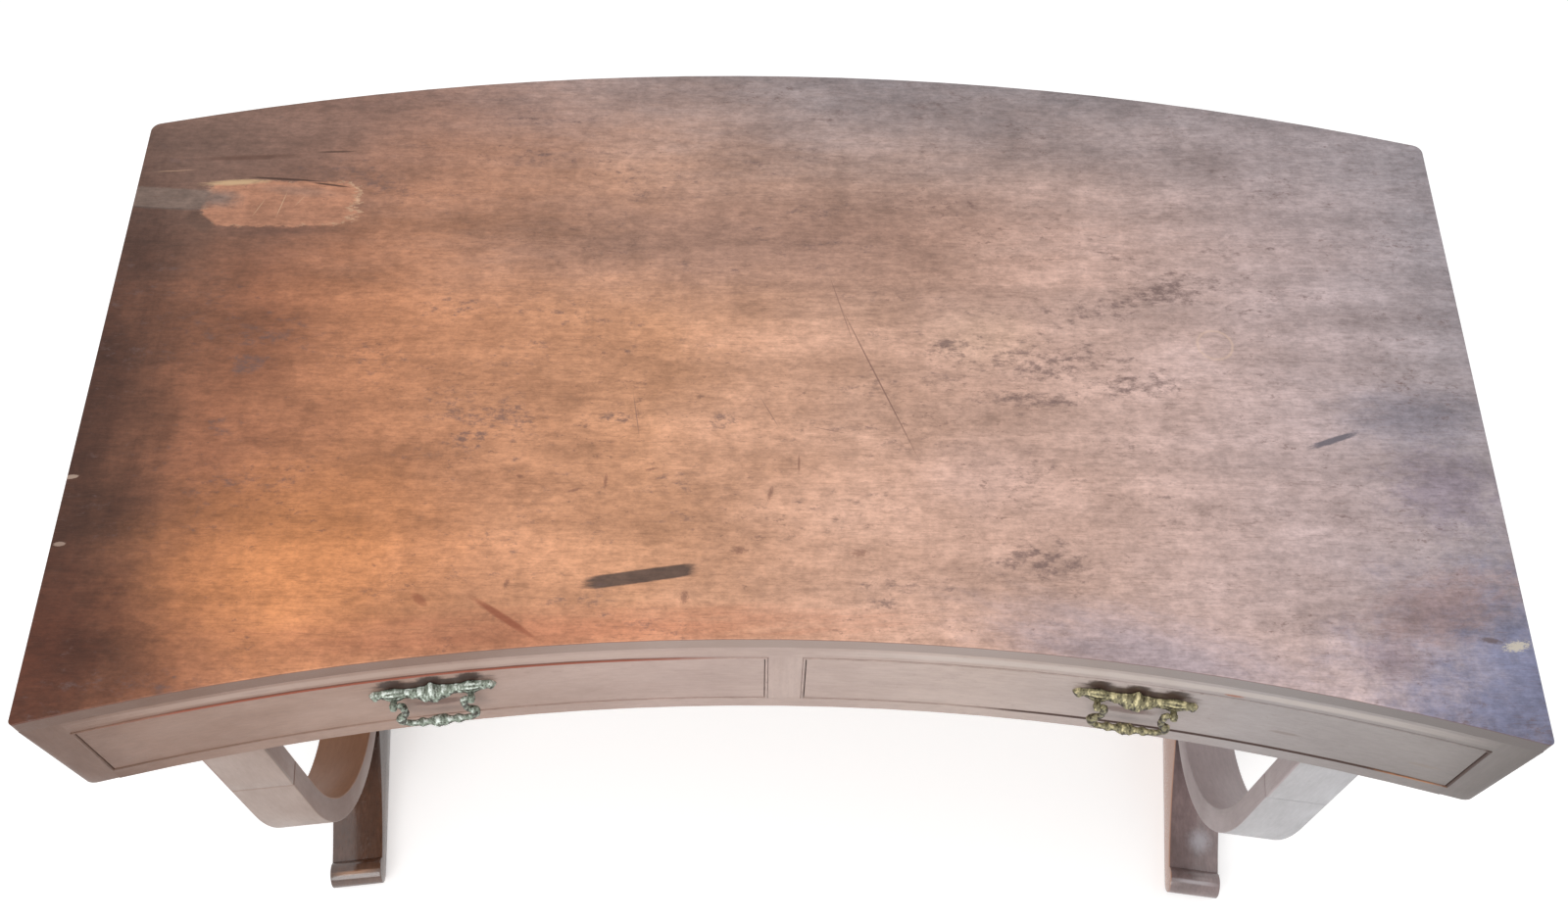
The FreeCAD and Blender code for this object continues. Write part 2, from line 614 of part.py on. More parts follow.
# Drawers
def build_drawer(side, sign):
    """One drawer: a curved front with a cock bead let into its edge, and a plain dovetailed box behind."""
    body = f"{side}_drawer"
    whole = mirrored(sign, DRAWER_INNER, DRAWER_OUTER)
    upward = (DRAWER_FOOT, DRAWER_TOP)
    block = box(f"FrontBlock_{side}", whole, CASE_DEPTH, upward)
    board = curved(f"FrontBoard_{side}", block, FRONT_FACE, BEHIND_DRAWER_FRONT, upward)
    proud = "(Sizes.front_radius - Sizes.bead_proud)"
    rim = curved(f"BeadRim_{side}", block, proud, "(Sizes.front_radius + Sizes.bead_deep)", upward)
    field = mirrored(sign, f"({DRAWER_INNER} + Sizes.bead_thick)", f"({DRAWER_OUTER} - Sizes.bead_thick)")
    field_up = (f"({DRAWER_FOOT} + Sizes.bead_thick)", f"({DRAWER_TOP} - Sizes.bead_thick)")
    bead = cut(f"Bead_{side}", rim, box(f"BeadField_{side}", field, CASE_DEPTH, field_up))
    keep(f"{body}_bead", bead)
    rebated = cut(f"FrontRebated_{side}", board, bead)
    back_y = f"({FRONT_Y} + Sizes.drawer_deep)"
    along = (FRONT_CORNER_Y, back_y)
    walls = (DRAWER_FOOT, f"({DRAWER_FOOT} + Sizes.side_high)")
    floor = f"({DRAWER_FOOT} + Sizes.bottom_raise)"
    panel_up = (floor, f"({floor} + Sizes.bottom_thick)")
    inner_wall = f"({DRAWER_INNER} + Sizes.side_thick)"
    outer_wall = f"({DRAWER_BOX_OUTER} - Sizes.side_thick)"
    let_in = mirrored(sign, f"({inner_wall} - Sizes.groove_deep)", f"({outer_wall} + Sizes.groove_deep)")
    panel_block = box(f"BottomBlock_{side}", let_in, along, panel_up)
    panel_nose = front_disc(f"BottomNose_{side}", BEHIND_DRAWER_FRONT, panel_up)
    panel = cut(f"Bottom_{side}", panel_block, panel_nose)
    keep(f"{body}_bottom", panel)
    for wall, near, far in (("inner", DRAWER_INNER, inner_wall), ("outer", outer_wall, DRAWER_BOX_OUTER)):
        block = box(f"Side_{wall}_{side}", mirrored(sign, near, far), along, walls)
        nose = front_disc(f"SideNose_{wall}_{side}", BEHIND_DRAWER_FRONT, walls)
        butted = cut(f"SideButted_{wall}_{side}", block, nose)
        keep(f"{body}_{wall}_side", cut(f"SideGrooved_{wall}_{side}", butted, panel))
    back_along = (f"({back_y} - Sizes.side_thick)", back_y)
    back = box(f"Back_{side}", mirrored(sign, inner_wall, outer_wall), back_along, (panel_up[1], walls[1]))
    keep(f"{body}_back", back)
    return rebated


# Drawer pulls, drawn round the middle of the plate with -Y away from the drawer
def on_front(obj, sign):
    """Turns a pull's piece to face out from the drawer front and moves it there."""
    angle = f"asin({PULL_ASIDE} / Sizes.front_radius)"
    turn = f"-{angle}" if sign > 0 else angle
    x = PULL_ASIDE if sign > 0 else f"-{PULL_ASIDE}"
    y = f"{FRONT_CENTRE_Y} + sqrt(Sizes.front_radius^2 - {PULL_ASIDE}^2)"
    obj.Placement.Rotation = Rotation(Vector(0, 0, 1), 1)
    bind(obj, Placement__Rotation__Yaw=turn)
    return at(obj, x, y, "Sizes.desk_height - Sizes.pull_drop")


def draw_plate(sketch):
    """A shaped backplate: a crest, waists, round lobes at the posts, and narrow tips."""
    crest = flat(0, size("plate_crest"))
    shoulder = flat(size("plate_crest_half"), (size("plate_crest") + size("plate_waist")) / 2)
    post = size("pivot_spacing") / 2
    lobe_start = flat(post - size("plate_lobe_half"), (size("plate_waist") + size("plate_lobe")) / 2)
    waist = flat((shoulder.x + lobe_start.x) / 2, size("plate_waist"))
    lobe = flat(post, size("plate_lobe"))
    lobe_end = flat(post + size("plate_lobe_half"), (size("plate_lobe") + size("plate_neck")) / 2)
    tip_start = flat(size("plate_half") - size("plate_tip_long"), size("plate_tip"))
    neck = flat((lobe_end.x + tip_start.x) / 2, size("plate_neck"))
    tip = flat(size("plate_half"), 0)
    below = lambda p: flat(p.x, -p.y)
    turned = lambda p: flat(-p.x, -p.y)
    upper = [(shoulder, waist, lobe_start), (lobe_start, lobe, lobe_end), (lobe_end, neck, tip_start)]
    edges = [Part.Arc(other_side(shoulder), crest, shoulder)]
    edges += [Part.Arc(a, b, c) for a, b, c in upper]
    edges += [Part.Arc(tip_start, tip, below(tip_start))]
    edges += [Part.Arc(below(c), below(b), below(a)) for a, b, c in reversed(upper)]
    edges += [Part.Arc(below(shoulder), below(crest), turned(shoulder))]
    edges += [Part.Arc(turned(a), turned(b), turned(c)) for a, b, c in upper]
    edges += [Part.Arc(turned(tip_start), other_side(tip), other_side(tip_start))]
    edges += [Part.Arc(other_side(c), other_side(b), other_side(a)) for a, b, c in reversed(upper)]
    outline(sketch, edges)


def sideways(name, radius, x, y, length):
    """A round bar along X, centred on x."""
    obj = doc.addObject("Part::Cylinder", name)
    obj.Placement.Rotation = Rotation(Vector(0, 1, 0), 90)
    bind(obj, Radius=radius, Height=length)
    return at(obj, f"{x} - ({length}) / 2", y, "0")


def inward(name, radius, x, y, length):
    """A round bar along Y, from y into the drawer."""
    obj = doc.addObject("Part::Cylinder", name)
    obj.Placement.Rotation = Rotation(Vector(1, 0, 0), -90)
    bind(obj, Radius=radius, Height=length)
    return at(obj, x, y, "0")


def turned_on_bar(middle, half, radius, y, drop):
    """A swelling turned on the bail's bottom bar, drawn as half its section and revolved."""
    point = lambda x, z: Vector(x, y, z)
    foot = size("bail_radius") + size("bail_collar") - drop
    near = middle - half
    far = middle + half
    profile = [
        Part.makeLine(point(near, -drop), point(near, foot)),
        Part.Arc(point(near, foot), point(middle, radius - drop), point(far, foot)).toShape(),
        Part.makeLine(point(far, foot), point(far, -drop)),
        Part.makeLine(point(far, -drop), point(near, -drop)),
    ]
    return Part.Face(Part.Wire(profile)).revolve(point(middle, -drop), Vector(1, 0, 0), 360)


def swan_neck(start, y):
    """One arm of the bail, inside its post: over the shoulder, down, out along the neck, in under the bow."""
    shoulder = size("bail_shoulder")
    neck = size("bail_neck")
    bow = size("bail_bow")
    drop = size("bail_drop")
    flare = math.radians(size("bail_flare"))
    side = start - shoulder
    point = lambda x, z: Vector(x, y, z)
    round_at = lambda x, z, radius, angle: point(x + radius * math.cos(angle), z + radius * math.sin(angle))
    bow_z = bow - drop
    neck_z = bow_z + (neck + bow) * math.sin(flare)
    bow_x = side + neck - (neck + bow) * math.cos(flare)
    over = [round_at(start, -shoulder, shoulder, math.pi * turn) for turn in (0.5, 0.75, 1)]
    out = [round_at(side + neck, neck_z, neck, math.pi + flare * turn) for turn in (0, 0.5, 1)]
    sweep = flare + math.pi / 2
    under = [round_at(bow_x, bow_z, bow, flare - sweep * turn) for turn in (0, 0.5, 1)]
    return [Part.Arc(*over), Part.LineSegment(over[2], out[0]), Part.Arc(*out), Part.Arc(*under)], under[2]


def bail_shape():
    """The bail: a round bar along two swan necks and a bottom bar, with end pins, a knop and two rings."""
    y = -size("pivot_stand")
    drop = size("bail_drop")
    start = size("pivot_spacing") / 2 - size("eye_long") / 2 - size("bail_gap")
    neck, corner = swan_neck(start, y)
    right = [edge.toShape() for edge in neck]
    left = [edge.mirror(Vector(0, 0, 0), Vector(1, 0, 0)) for edge in reversed(right)]
    bar_line = Part.makeLine(corner, Vector(-corner.x, corner.y, corner.z))
    path = Part.Wire(Part.sortEdges(right + [bar_line] + left)[0])
    ring = Part.Wire([Part.makeCircle(size("bail_radius"), Vector(start, y, 0), Vector(1, 0, 0))])
    bar = path.makePipeShell([ring], True, False)
    sink = size("bail_gap")
    reach = size("eye_long") + sink * 3
    for x, way in ((start - sink, 1), (sink - start, -1)):
        bar = bar.fuse(Part.makeCylinder(size("pin_radius"), reach, Vector(x, y, 0), Vector(way, 0, 0)))
    bar = bar.fuse(turned_on_bar(0, size("bail_knop_half"), size("bail_knop"), y, drop))
    for way in (-1, 1):
        place = way * size("bail_ring_place")
        bar = bar.fuse(turned_on_bar(place, size("bail_ring_half"), size("bail_ring"), y, drop))
    return bar


def build_pull(side, sign, drawer_front):
    """One pull: a backplate, two eyed posts nutted inside the drawer, and a swinging bail."""
    post = "Sizes.pivot_spacing / 2"
    stand = "-Sizes.pivot_stand"
    reach = "Sizes.pivot_stand + Sizes.drawer_front_thick + Sizes.nut_thick + Sizes.shank_tail"
    posts = []
    nuts = []
    for hand, x in (("a", f"-{post}"), ("b", post)):
        name = f"{hand}_{side}"
        shank = inward(f"Shank_{name}", "Sizes.shank_radius", x, stand, reach)
        eye = sideways(f"Eye_{name}", "Sizes.eye_radius", x, stand, "Sizes.eye_long")
        whole = fuse(f"PostWhole_{name}", shank, eye)
        hole = "(Sizes.pin_radius + Sizes.pin_gap)"
        bore = sideways(f"Bore_{name}", hole, x, stand, "Sizes.eye_long * 2")
        posts.append(cut(f"Post_{name}", whole, bore))
        inside = "Sizes.drawer_front_thick"
        disc = inward(f"NutDisc_{name}", "Sizes.nut_radius", x, inside, "Sizes.nut_thick")
        nuts.append(cut(f"Nut_{name}", disc, shank))
    body = f"{side}_pull"
    post_set = group(f"PostSet_{side}", posts)
    placed = keep(f"{body}_posts", on_front(group(f"Posts_{side}", [post_set]), sign))
    keep(f"{body}_nuts", on_front(group(f"Nuts_{side}", nuts), sign))
    plate = doc.addObject("PartDesign::Body", f"PlateBody_{side}")
    sketch = sketch_on(plate, f"PlateOutline_{side}", "XZ_Plane")
    draw_plate(sketch)
    pad = plate.newObject("PartDesign::Pad", f"PlatePad_{side}")
    pad.Profile = sketch
    bind(pad, Length="Sizes.plate_thick")
    bind(plate, Placement__Base__y=f"-{PLATE_BACK}")
    keep(f"{body}_plate", on_front(cut(f"Plate_{side}", plate, post_set), sign))
    bail = doc.addObject("Part::Feature", f"Bail_{side}")
    bail.Shape = bail_shape()
    keep(f"{body}_bail", on_front(bail, sign))
    keep(f"{side}_drawer_front", cut(f"DrawerFront_{side}", drawer_front, placed))


build_top()
lower_rail = build_case()
build_running_gear()
left_screws = build_trestle("left", -1)
right_screws = build_trestle("right", 1)
screwed_left = cut("LowerRailLeftHoles", lower_rail, left_screws)
keep("front_lower_rail", cut("LowerRailHoles", screwed_left, right_screws))
build_pull("left", -1, build_drawer("left", -1))
build_pull("right", 1, build_drawer("right", 1))
doc.recompute()

for obj in doc.Objects:
    if "Invalid" in obj.State or "Error" in obj.State:
        raise RuntimeError(f"{obj.Label} did not rebuild: {obj.State}")
for node, obj in pieces.items():
    if obj.Shape.isNull() or not obj.Shape.isValid() or not obj.Shape.Solids:
        raise RuntimeError(f"{node} is not a sound solid")
os.makedirs("parts", exist_ok=True)
for node, obj in pieces.items():
    obj.Shape.exportStep(f"parts/{node}.step")
    spread = obj.Shape.BoundBox
    print(f"{node}: {len(obj.Shape.Solids)} solids, {obj.Shape.Volume / 1000:.1f} cm3, {spread}")
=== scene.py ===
"""Looks of the concave-fronted writing desk: polished wood, cast pulls, floor, light and camera."""
import logging
import math
from dataclasses import dataclass
from enum import Enum
from functools import partial

import bpy
import numpy as np
from bpy.types import Material, Node, NodeSocket, NodeTree, Object
from mathutils import Matrix


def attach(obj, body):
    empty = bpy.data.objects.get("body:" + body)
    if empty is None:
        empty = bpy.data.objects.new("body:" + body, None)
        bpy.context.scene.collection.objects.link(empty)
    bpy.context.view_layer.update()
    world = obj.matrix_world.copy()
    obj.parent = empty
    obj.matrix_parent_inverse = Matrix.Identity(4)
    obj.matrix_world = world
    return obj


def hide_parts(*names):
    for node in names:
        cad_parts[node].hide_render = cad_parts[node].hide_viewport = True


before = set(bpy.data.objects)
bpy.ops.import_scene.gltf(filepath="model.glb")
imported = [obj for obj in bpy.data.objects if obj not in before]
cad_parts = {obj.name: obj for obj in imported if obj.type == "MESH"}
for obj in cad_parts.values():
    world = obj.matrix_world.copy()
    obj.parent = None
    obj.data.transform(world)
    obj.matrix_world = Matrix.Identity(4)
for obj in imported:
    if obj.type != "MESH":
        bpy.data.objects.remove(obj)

LOG = logging.getLogger("desk")
Colour = tuple[float, float, float, float]
Pair = tuple[float, float]
Triple = tuple[float, float, float]
Tones = tuple[tuple[float, Colour], ...]


def srgb(red: int, green: int, blue: int) -> Colour:
    """Turns a colour as it shows on screen into the linear colour a shader takes.

    Args:
        red: red from 0 to 255.
        green: green from 0 to 255.
        blue: blue from 0 to 255.

    Returns:
        The linear colour with full opacity.
    """
    share = np.array([red, green, blue]) / 255
    linear = np.where(share <= 0.04045, share / 12.92, ((share + 0.055) / 1.055) ** 2.4)
    return (*linear.tolist(), 1.0)


def toned(*stops: tuple[float, int, int, int]) -> Tones:
    """Tones along the desk's length: at each stop a place along X, then red, green and blue."""
    return tuple((place, srgb(*colour)) for place, *colour in stops)


WHITE = (1.0, 1.0, 1.0, 1.0)
PORE = srgb(104, 70, 54)
SCUFF = srgb(98, 72, 66)
ARRIS = srgb(92, 58, 46)
SOIL = srgb(104, 83, 80)

# The front's arc in plan: its centre stands before the desk, on the middle line.
FRONT_CENTRE = -3.08487
FRONT_RADIUS = 2.740
# Marks on the front reach this deep, so the inner faces stay clean.
FACE_DEPTH = 0.004
# Tones are given from this far left of the middle to this far right.
TONE_REACH = 0.8
# Where the top's face turns into its edge.
TOP_EDGE = 0.7606
# Half the width of the line where two tones meet.
HAIR = 0.0006
# A size so long that what stands off a mark's face counts for nothing.
FLAT = 1e9
# The range that most of a noise lies in.
NOISE_LOW, NOISE_HIGH = 0.3, 0.7
# Faces that meet at a steeper angle than this, in degrees, keep a sharp edge.
SHARP = 40
# Points in the quarter circle of an eased edge.
EASE_STEPS = 4


class Side(Enum):
    """The two ends of the desk, as its sitter sees them."""

    LEFT = -1
    RIGHT = 1

    @property
    def word(self) -> str:
        """The name this side has in the CAD nodes."""
        return self.name.lower()


class Grain(Enum):
    """Which way the grain runs: a turn that brings it to X, or the piece's own map."""

    ALONG_X = (0.0, 0.0, 0.0)
    ALONG_Y = (0.0, 0.0, -math.pi / 2)
    ALONG_Z = (0.0, math.pi / 2, 0.0)
    MAPPED = None


class Layer(Enum):
    """Where a mark works: in the soil rubbed into the grain, under its shading, or over it."""

    SOIL = "soil"
    WASH = "wash"
    OVER = "over"


class Plane(Enum):
    """The face a mark lies on: the two axes that count there, and the one it turns about."""

    TOP = (0, 1, 2)
    FRONT = (0, 2, 1)

    def lay(self, pair: Pair, rest: float) -> list[float]:
        """Puts two values on this face's axes and a third on the other axis.

        Args:
            pair: the values on the face.
            rest: the value off it.

        Returns:
            The three values along X, Y and Z.
        """
        laid = [rest] * 3
        laid[self.value[0]], laid[self.value[1]] = pair
        return laid


# Mesh helpers
def surface(
    name: str,
    points: np.ndarray,
    along: np.ndarray,
    relief: np.ndarray | None = None,
    ringed: bool = False,
) -> Object:
    """Makes a closed mesh of quads from rings of points, with a map that follows the grain.

    Each ring closes on itself. The first and last rings are closed by a face, or join each other.

    Args:
        name: the piece's name.
        points: places in metres, as rings by points by 3.
        along: length along the grain at each ring, in metres.
        relief: a height from 0 to 1 at each point, on the pulls with painted light in it, kept as
            an attribute.
        ringed: whether the last ring joins the first.

    Returns:
        The new object, linked to the scene.
    """
    rings, count = points.shape[:2]
    number = np.arange(rings * count).reshape(rings, count)
    spans = rings if ringed else rings - 1
    here = number[:spans]
    there = np.roll(number, -1, axis=0)[:spans]
    quads = np.stack([here, np.roll(here, -1, 1), np.roll(there, -1, 1), there], -1)
    quads = quads.reshape(-1, 4)
    step = np.linalg.norm(np.roll(points, -1, 1) - points, axis=-1).mean(0)
    across = np.concatenate([[0.0], np.cumsum(step)])
    length = np.append(along, 2 * along[-1] - along[-2])
    low, high = length[:spans, None], length[1 : spans + 1, None]
    left, right = across[None, :-1], across[None, 1:]
    corners = [np.broadcast_arrays(low, left), np.broadcast_arrays(low, right)]
    corners += [np.broadcast_arrays(high, right), np.broadcast_arrays(high, left)]
    chart = np.stack([np.stack(corner, -1) for corner in corners], 2).reshape(-1, 2)
    faces = quads.tolist()
    if not ringed:
        faces += [number[0][::-1].tolist(), number[-1].tolist()]
        ends = [np.stack([np.full(count, length[k]), across[:-1]], -1) for k in (0, rings - 1)]
        chart = np.concatenate([chart, ends[0][::-1], ends[1]])
    mesh = bpy.data.meshes.new(name)
    mesh.from_pydata(points.reshape(-1, 3).tolist(), [], faces)
    mesh.uv_layers.new(name="grain").data.foreach_set("uv", chart.ravel())
    if relief is not None:
        mesh.attributes.new("relief", "FLOAT", "POINT").data.foreach_set("value", relief.ravel())
    a, b, c = (points.reshape(-1, 3)[quads[:, k]] for k in (0, 1, 2))
    if np.einsum("ij,ij->i", a, np.cross(b - a, c - a)).sum() < 0:
        mesh.flip_normals()
    mesh.shade_smooth()
    mesh.set_sharp_from_angle(angle=math.radians(SHARP))
    piece = bpy.data.objects.new(name, mesh)
    bpy.context.scene.collection.objects.link(piece)
    return piece


def rounded(width: np.ndarray, height: np.ndarray, radius: float) -> np.ndarray:
    """Rectangles with rounded corners: quarter circles about the corners' centres, turning left.

    Args:
        width: full width of each rectangle.
        height: full height of each rectangle.
        radius: radius of the corners.

    Returns:
        Rings of points, as rectangles by points by 2, round the origin.
    """
    turn = np.linspace(0, math.pi / 2, EASE_STEPS)
    angle = (turn[None] + np.arange(4)[:, None] * math.pi / 2).ravel()
    quarter = np.repeat(np.arange(4), EASE_STEPS)
    aside = np.where((quarter == 0) | (quarter == 3), 1, -1)
    way = np.stack([aside, np.where(quarter < 2, 1, -1)], -1)
    half = np.stack([np.atleast_1d(width), np.atleast_1d(height)], -1)[:, None] / 2 - radius
    return way[None] * half + radius * np.stack([np.cos(angle), np.sin(angle)], -1)[None]


def eased(length: float, radius: float, inner: np.ndarray) -> tuple[np.ndarray, np.ndarray]:
    """Stations along a board whose two ends are eased, and how far each ring draws in there.

    The draw is one minus the cosine of a quarter turn, so that the end's edge is a quarter circle.

    Args:
        length: length of the board.
        radius: radius of the easing.
        inner: stations between the eased ends.

    Returns:
        The stations and the draw at each.
    """
    turn = np.linspace(0, math.pi / 2, EASE_STEPS)
    start = radius * (1 - np.cos(turn))
    draw = radius * (1 - np.sin(turn))
    places = np.concatenate([start, inner, length - start[::-1]])
    return places, np.concatenate([draw, np.zeros(len(inner)), draw[::-1]])


def hump(away: np.ndarray, centre: float, spread: float) -> np.ndarray:
    """A bell: one at the centre, falling with the square of the distance over the spread."""
    return np.exp(-(((away - centre) / spread) ** 2))


def swollen(away: np.ndarray, base: float, *bells: Triple) -> np.ndarray:
    """A base size with bells on it, each given by its place, its spread and its height."""
    return base + sum(high * hump(away, place, spread) for place, spread, high in bells)


def bow(centre: Pair, radius: float, start: float, end: float, count: int) -> np.ndarray:
    """Points on a circle's arc about a centre, from the start angle to the end angle."""
    turn = np.linspace(start, end, count)
    return np.array(centre) + radius * np.stack([np.cos(turn), np.sin(turn)], -1)


def unit(vectors: np.ndarray) -> np.ndarray:
    """Vectors along the last axis, each divided by its length."""
    return vectors / np.linalg.norm(vectors, axis=-1, keepdims=True)


def placed(points: np.ndarray, turn: float, centre: Triple) -> np.ndarray:
    """Turns points about the upright axis and moves them to a centre.

    Args:
        points: places in the part's own frame.
        turn: angle in degrees.
        centre: where the part's own origin goes.

    Returns:
        The places in the desk's frame.
    """
    cosine, sine = math.cos(math.radians(turn)), math.sin(math.radians(turn))
    spin = np.array([[cosine, -sine, 0], [sine, cosine, 0], [0, 0, 1]])
    return points @ spin.T + np.array(centre)


# Shader helpers
class Shade:
    """Adds nodes to one tree; every input is a socket to link or a constant to set."""

    def __init__(self, tree: NodeTree) -> None:
        """Keeps the tree that the nodes go into, and the vectors taken apart so far."""
        self.tree = tree
        self.split: dict[str, Node] = {}

    def wire(self, node: Node, inputs: dict) -> None:
        """Links sockets to a node's inputs, or sets constants on them.

        Args:
            node: the node.
            inputs: sockets or constants by the input's name or number.
        """
        for name, value in inputs.items():
            if isinstance(value, NodeSocket):
                self.tree.links.new(value, node.inputs[name])
            else:
                node.inputs[name].default_value = value

    def node(self, kind: str, inputs: dict, **settings: object) -> Node:
        """Adds one node.

        Args:
            kind: the node's type.
            inputs: sockets or constants by the input's name or number.
            settings: the node's own properties.

        Returns:
            The new node.
        """
        made = self.tree.nodes.new(kind)
        for name, value in settings.items():
            setattr(made, name, value)
        self.wire(made, inputs)
        return made

    def place(self) -> NodeSocket:
        """Object coordinates."""
        return self.node("ShaderNodeTexCoord", {}).outputs["Object"]

    def part(self, vector: NodeSocket, axis: str) -> NodeSocket:
        """One coordinate of a vector, which is taken apart once."""
        name = vector.node.name
        if name not in self.split:
            self.split[name] = self.node("ShaderNodeSeparateXYZ", {0: vector})
        return self.split[name].outputs[axis]

    def math(self, operation: str, *values: object) -> NodeSocket:
        """One arithmetic step on sockets or numbers."""
        return self.node("ShaderNodeMath", dict(enumerate(values)), operation=operation).outputs[0]

    def vector(self, operation: str, *values: object) -> NodeSocket:
        """One vector step on sockets or constants; a length is a value."""
        made = self.node("ShaderNodeVectorMath", dict(enumerate(values)), operation=operation)
        return made.outputs["Value" if operation == "LENGTH" else "Vector"]

    def mix(
        self, factor: object, under: object, over: object, blend: str = "MIX"
    ) -> NodeSocket:
        """Lays one colour over another, as far as the factor says."""
        inputs = {0: factor, 6: under, 7: over}
        return self.node("ShaderNodeMix", inputs, data_type="RGBA", blend_type=blend).outputs[2]

    def remap(
        self, value: object, low: object, high: object, start: float = 0.0, end: float = 1.0
    ) -> NodeSocket:
        """Carries a value smoothly from the range low to high over to the range start to end."""
        inputs = {"Value": value, "From Min": low, "From Max": high, "To Min": start, "To Max": end}
        return self.node("ShaderNodeMapRange", inputs, interpolation_type="SMOOTHSTEP").outputs[0]

    def noise(
        self, vector: NodeSocket, scale: Triple, detail: float, rough: float = 0.55
    ) -> NodeSocket:
        """Noise about one half, stretched differently along each axis.

        Args:
            vector: the coordinates.
            scale: repeats per metre along each axis.
            detail: octaves.
            rough: weight of the finer octaves.

        Returns:
            The value.
        """
        stretched = self.node("ShaderNodeMapping", {"Vector": vector, "Scale": scale}).outputs[0]
        inputs = {"Vector": stretched, "Scale": 1.0, "Detail": detail, "Roughness": rough}
        return self.node("ShaderNodeTexNoise", inputs).outputs[0]

    def ramp(self, factor: NodeSocket, stops: Tones) -> NodeSocket:
        """Colours along a line.

        Args:
            factor: the place on the line.
            stops: places and colours, in order.

        Returns:
            The colour there.
        """
        made = self.node("ShaderNodeValToRGB", {0: factor})
        line = made.color_ramp.elements
        for place, _ in stops[1:-1]:
            line.new(place)
        for element, (place, colour) in zip(line, stops):
            element.position = place
            element.color = colour
        return made.outputs[0]


def begin(name: str) -> tuple[Material, Shade, Node]:
    """Starts a material.

    Args:
        name: the material's name.

    Returns:
        The material, a shade for its tree, and its Principled BSDF.
    """
    material = bpy.data.materials.new(name)
    material.use_nodes = True
    return material, Shade(material.node_tree), material.node_tree.nodes["Principled BSDF"]


def new_group(
    name: str, takes: dict[str, str], gives: tuple[str, ...]
) -> tuple[Shade, dict[str, NodeSocket], Node]:
    """Starts a shader node group whose outputs are values.

    Args:
        name: the group's name.
        takes: its inputs and their socket types.
        gives: its outputs.

    Returns:
        A shade for its tree, its input sockets by name, and its output node.
    """
    tree = bpy.data.node_groups.new(name, "ShaderNodeTree")
    for label, kind in takes.items():
        tree.interface.new_socket(label, in_out="INPUT", socket_type=kind)
    for label in gives:
        tree.interface.new_socket(label, in_out="OUTPUT", socket_type="NodeSocketFloat")
    entry = tree.nodes.new("NodeGroupInput")
    leaving = tree.nodes.new("NodeGroupOutput")
    return Shade(tree), {label: entry.outputs[label] for label in takes}, leaving


class Effects:
    """The node groups that several finishes share."""

    def __init__(self) -> None:
        """Builds each group once."""
        self.grain = self.build_grain()
        self.spot = self.build_spot()

    def build_grain(self) -> NodeTree:
        """Mahogany along X: bands, streaks, pores, clouds, cross figure, mottle, scuffs and soil.

        Each is noise with its own repeats per metre along and across the grain.

        Returns:
            A group that gives each as a value, and the grain's height.
        """
        names = ("Band", "Streak", "Pore", "Cloud", "Figure", "Mottle", "Scuff", "Soil", "Height")
        takes = {"Vector": "NodeSocketVector", "Bias": "NodeSocketFloat"}
        shade, takes, leaving = new_group("wood_grain", takes, names)
        lay = takes["Vector"]
        found = {
            "Band": shade.noise(lay, (1.6, 22.0, 22.0), 4.0, 0.55),
            "Streak": shade.noise(lay, (34.0, 260.0, 260.0), 5.0, 0.68),
            "Cloud": shade.noise(lay, (5.0, 9.0, 9.0), 9.0, 0.66),
            "Figure": shade.noise(lay, (36.0, 7.0, 7.0), 5.0, 0.6),
            "Mottle": shade.noise(lay, (75.0, 120.0, 120.0), 7.0, 0.74),
        }
        fine = shade.noise(lay, (60.0, 800.0, 800.0), 2.0, 0.5)
        found["Pore"] = shade.remap(fine, 0.57, 0.74)
        patch = shade.math("SUBTRACT", shade.noise(lay, (8.0, 8.0, 8.0), 2.0), 0.5)
        speck = shade.noise(lay, (85.0, 150.0, 150.0), 6.0, 0.72)
        found["Scuff"] = shade.remap(shade.math("MULTIPLY_ADD", patch, 0.35, speck), 0.61, 0.72)
        smear = shade.noise(lay, (7.0, 19.0, 19.0), 10.0, 0.7)
        fray = shade.math("SUBTRACT", shade.noise(lay, (70.0, 110.0, 110.0), 7.0, 0.75), 0.5)
        rubbed = shade.math("ADD", shade.math("MULTIPLY_ADD", fray, 1.0, smear), takes["Bias"])
        found["Soil"] = shade.remap(rubbed, 0.59, 0.84)
        grooves = shade.math("MULTIPLY", found["Streak"], 0.5)
        found["Height"] = shade.math("SUBTRACT", grooves, found["Pore"])
        shade.wire(leaving, found)
        return shade.tree

    def build_spot(self) -> NodeTree:
        """A mark round the origin, whose distance is a power mean of two coordinates.

        A power of two makes it round, a higher one boxy. Noise makes its rim ragged.

        Returns:
            A group that gives the mark's inside and its rim as masks.
        """
        ways = ("Across", "Along")
        takes = {"Vector": "NodeSocketVector"}
        takes.update(dict.fromkeys((*ways, "Edge", "Ragged", "Power"), "NodeSocketFloat"))
        shade, takes, leaving = new_group("mark_spot", takes, ("Mask", "Rim"))
        frayed = shade.noise(takes["Vector"], (3.1, 3.1, 3.1), 6.0, 0.78)
        wander = shade.math("SUBTRACT", frayed, 0.5)
        power = takes["Power"]
        raised = [shade.math("POWER", shade.math("ABSOLUTE", takes[way]), power) for way in ways]
        reach = shade.math("POWER", shade.math("ADD", *raised), shade.math("DIVIDE", 1.0, power))
        rim = shade.math("MULTIPLY_ADD", wander, takes["Ragged"], reach)
        inside = shade.remap(rim, 1.0, shade.math("SUBTRACT", 1.0, takes["Edge"]))
        off = shade.math("ABSOLUTE", shade.math("SUBTRACT", rim, 0.9))
        shade.wire(leaving, {"Mask": inside, "Rim": shade.remap(off, takes["Edge"], 0.0)})
        return shade.tree


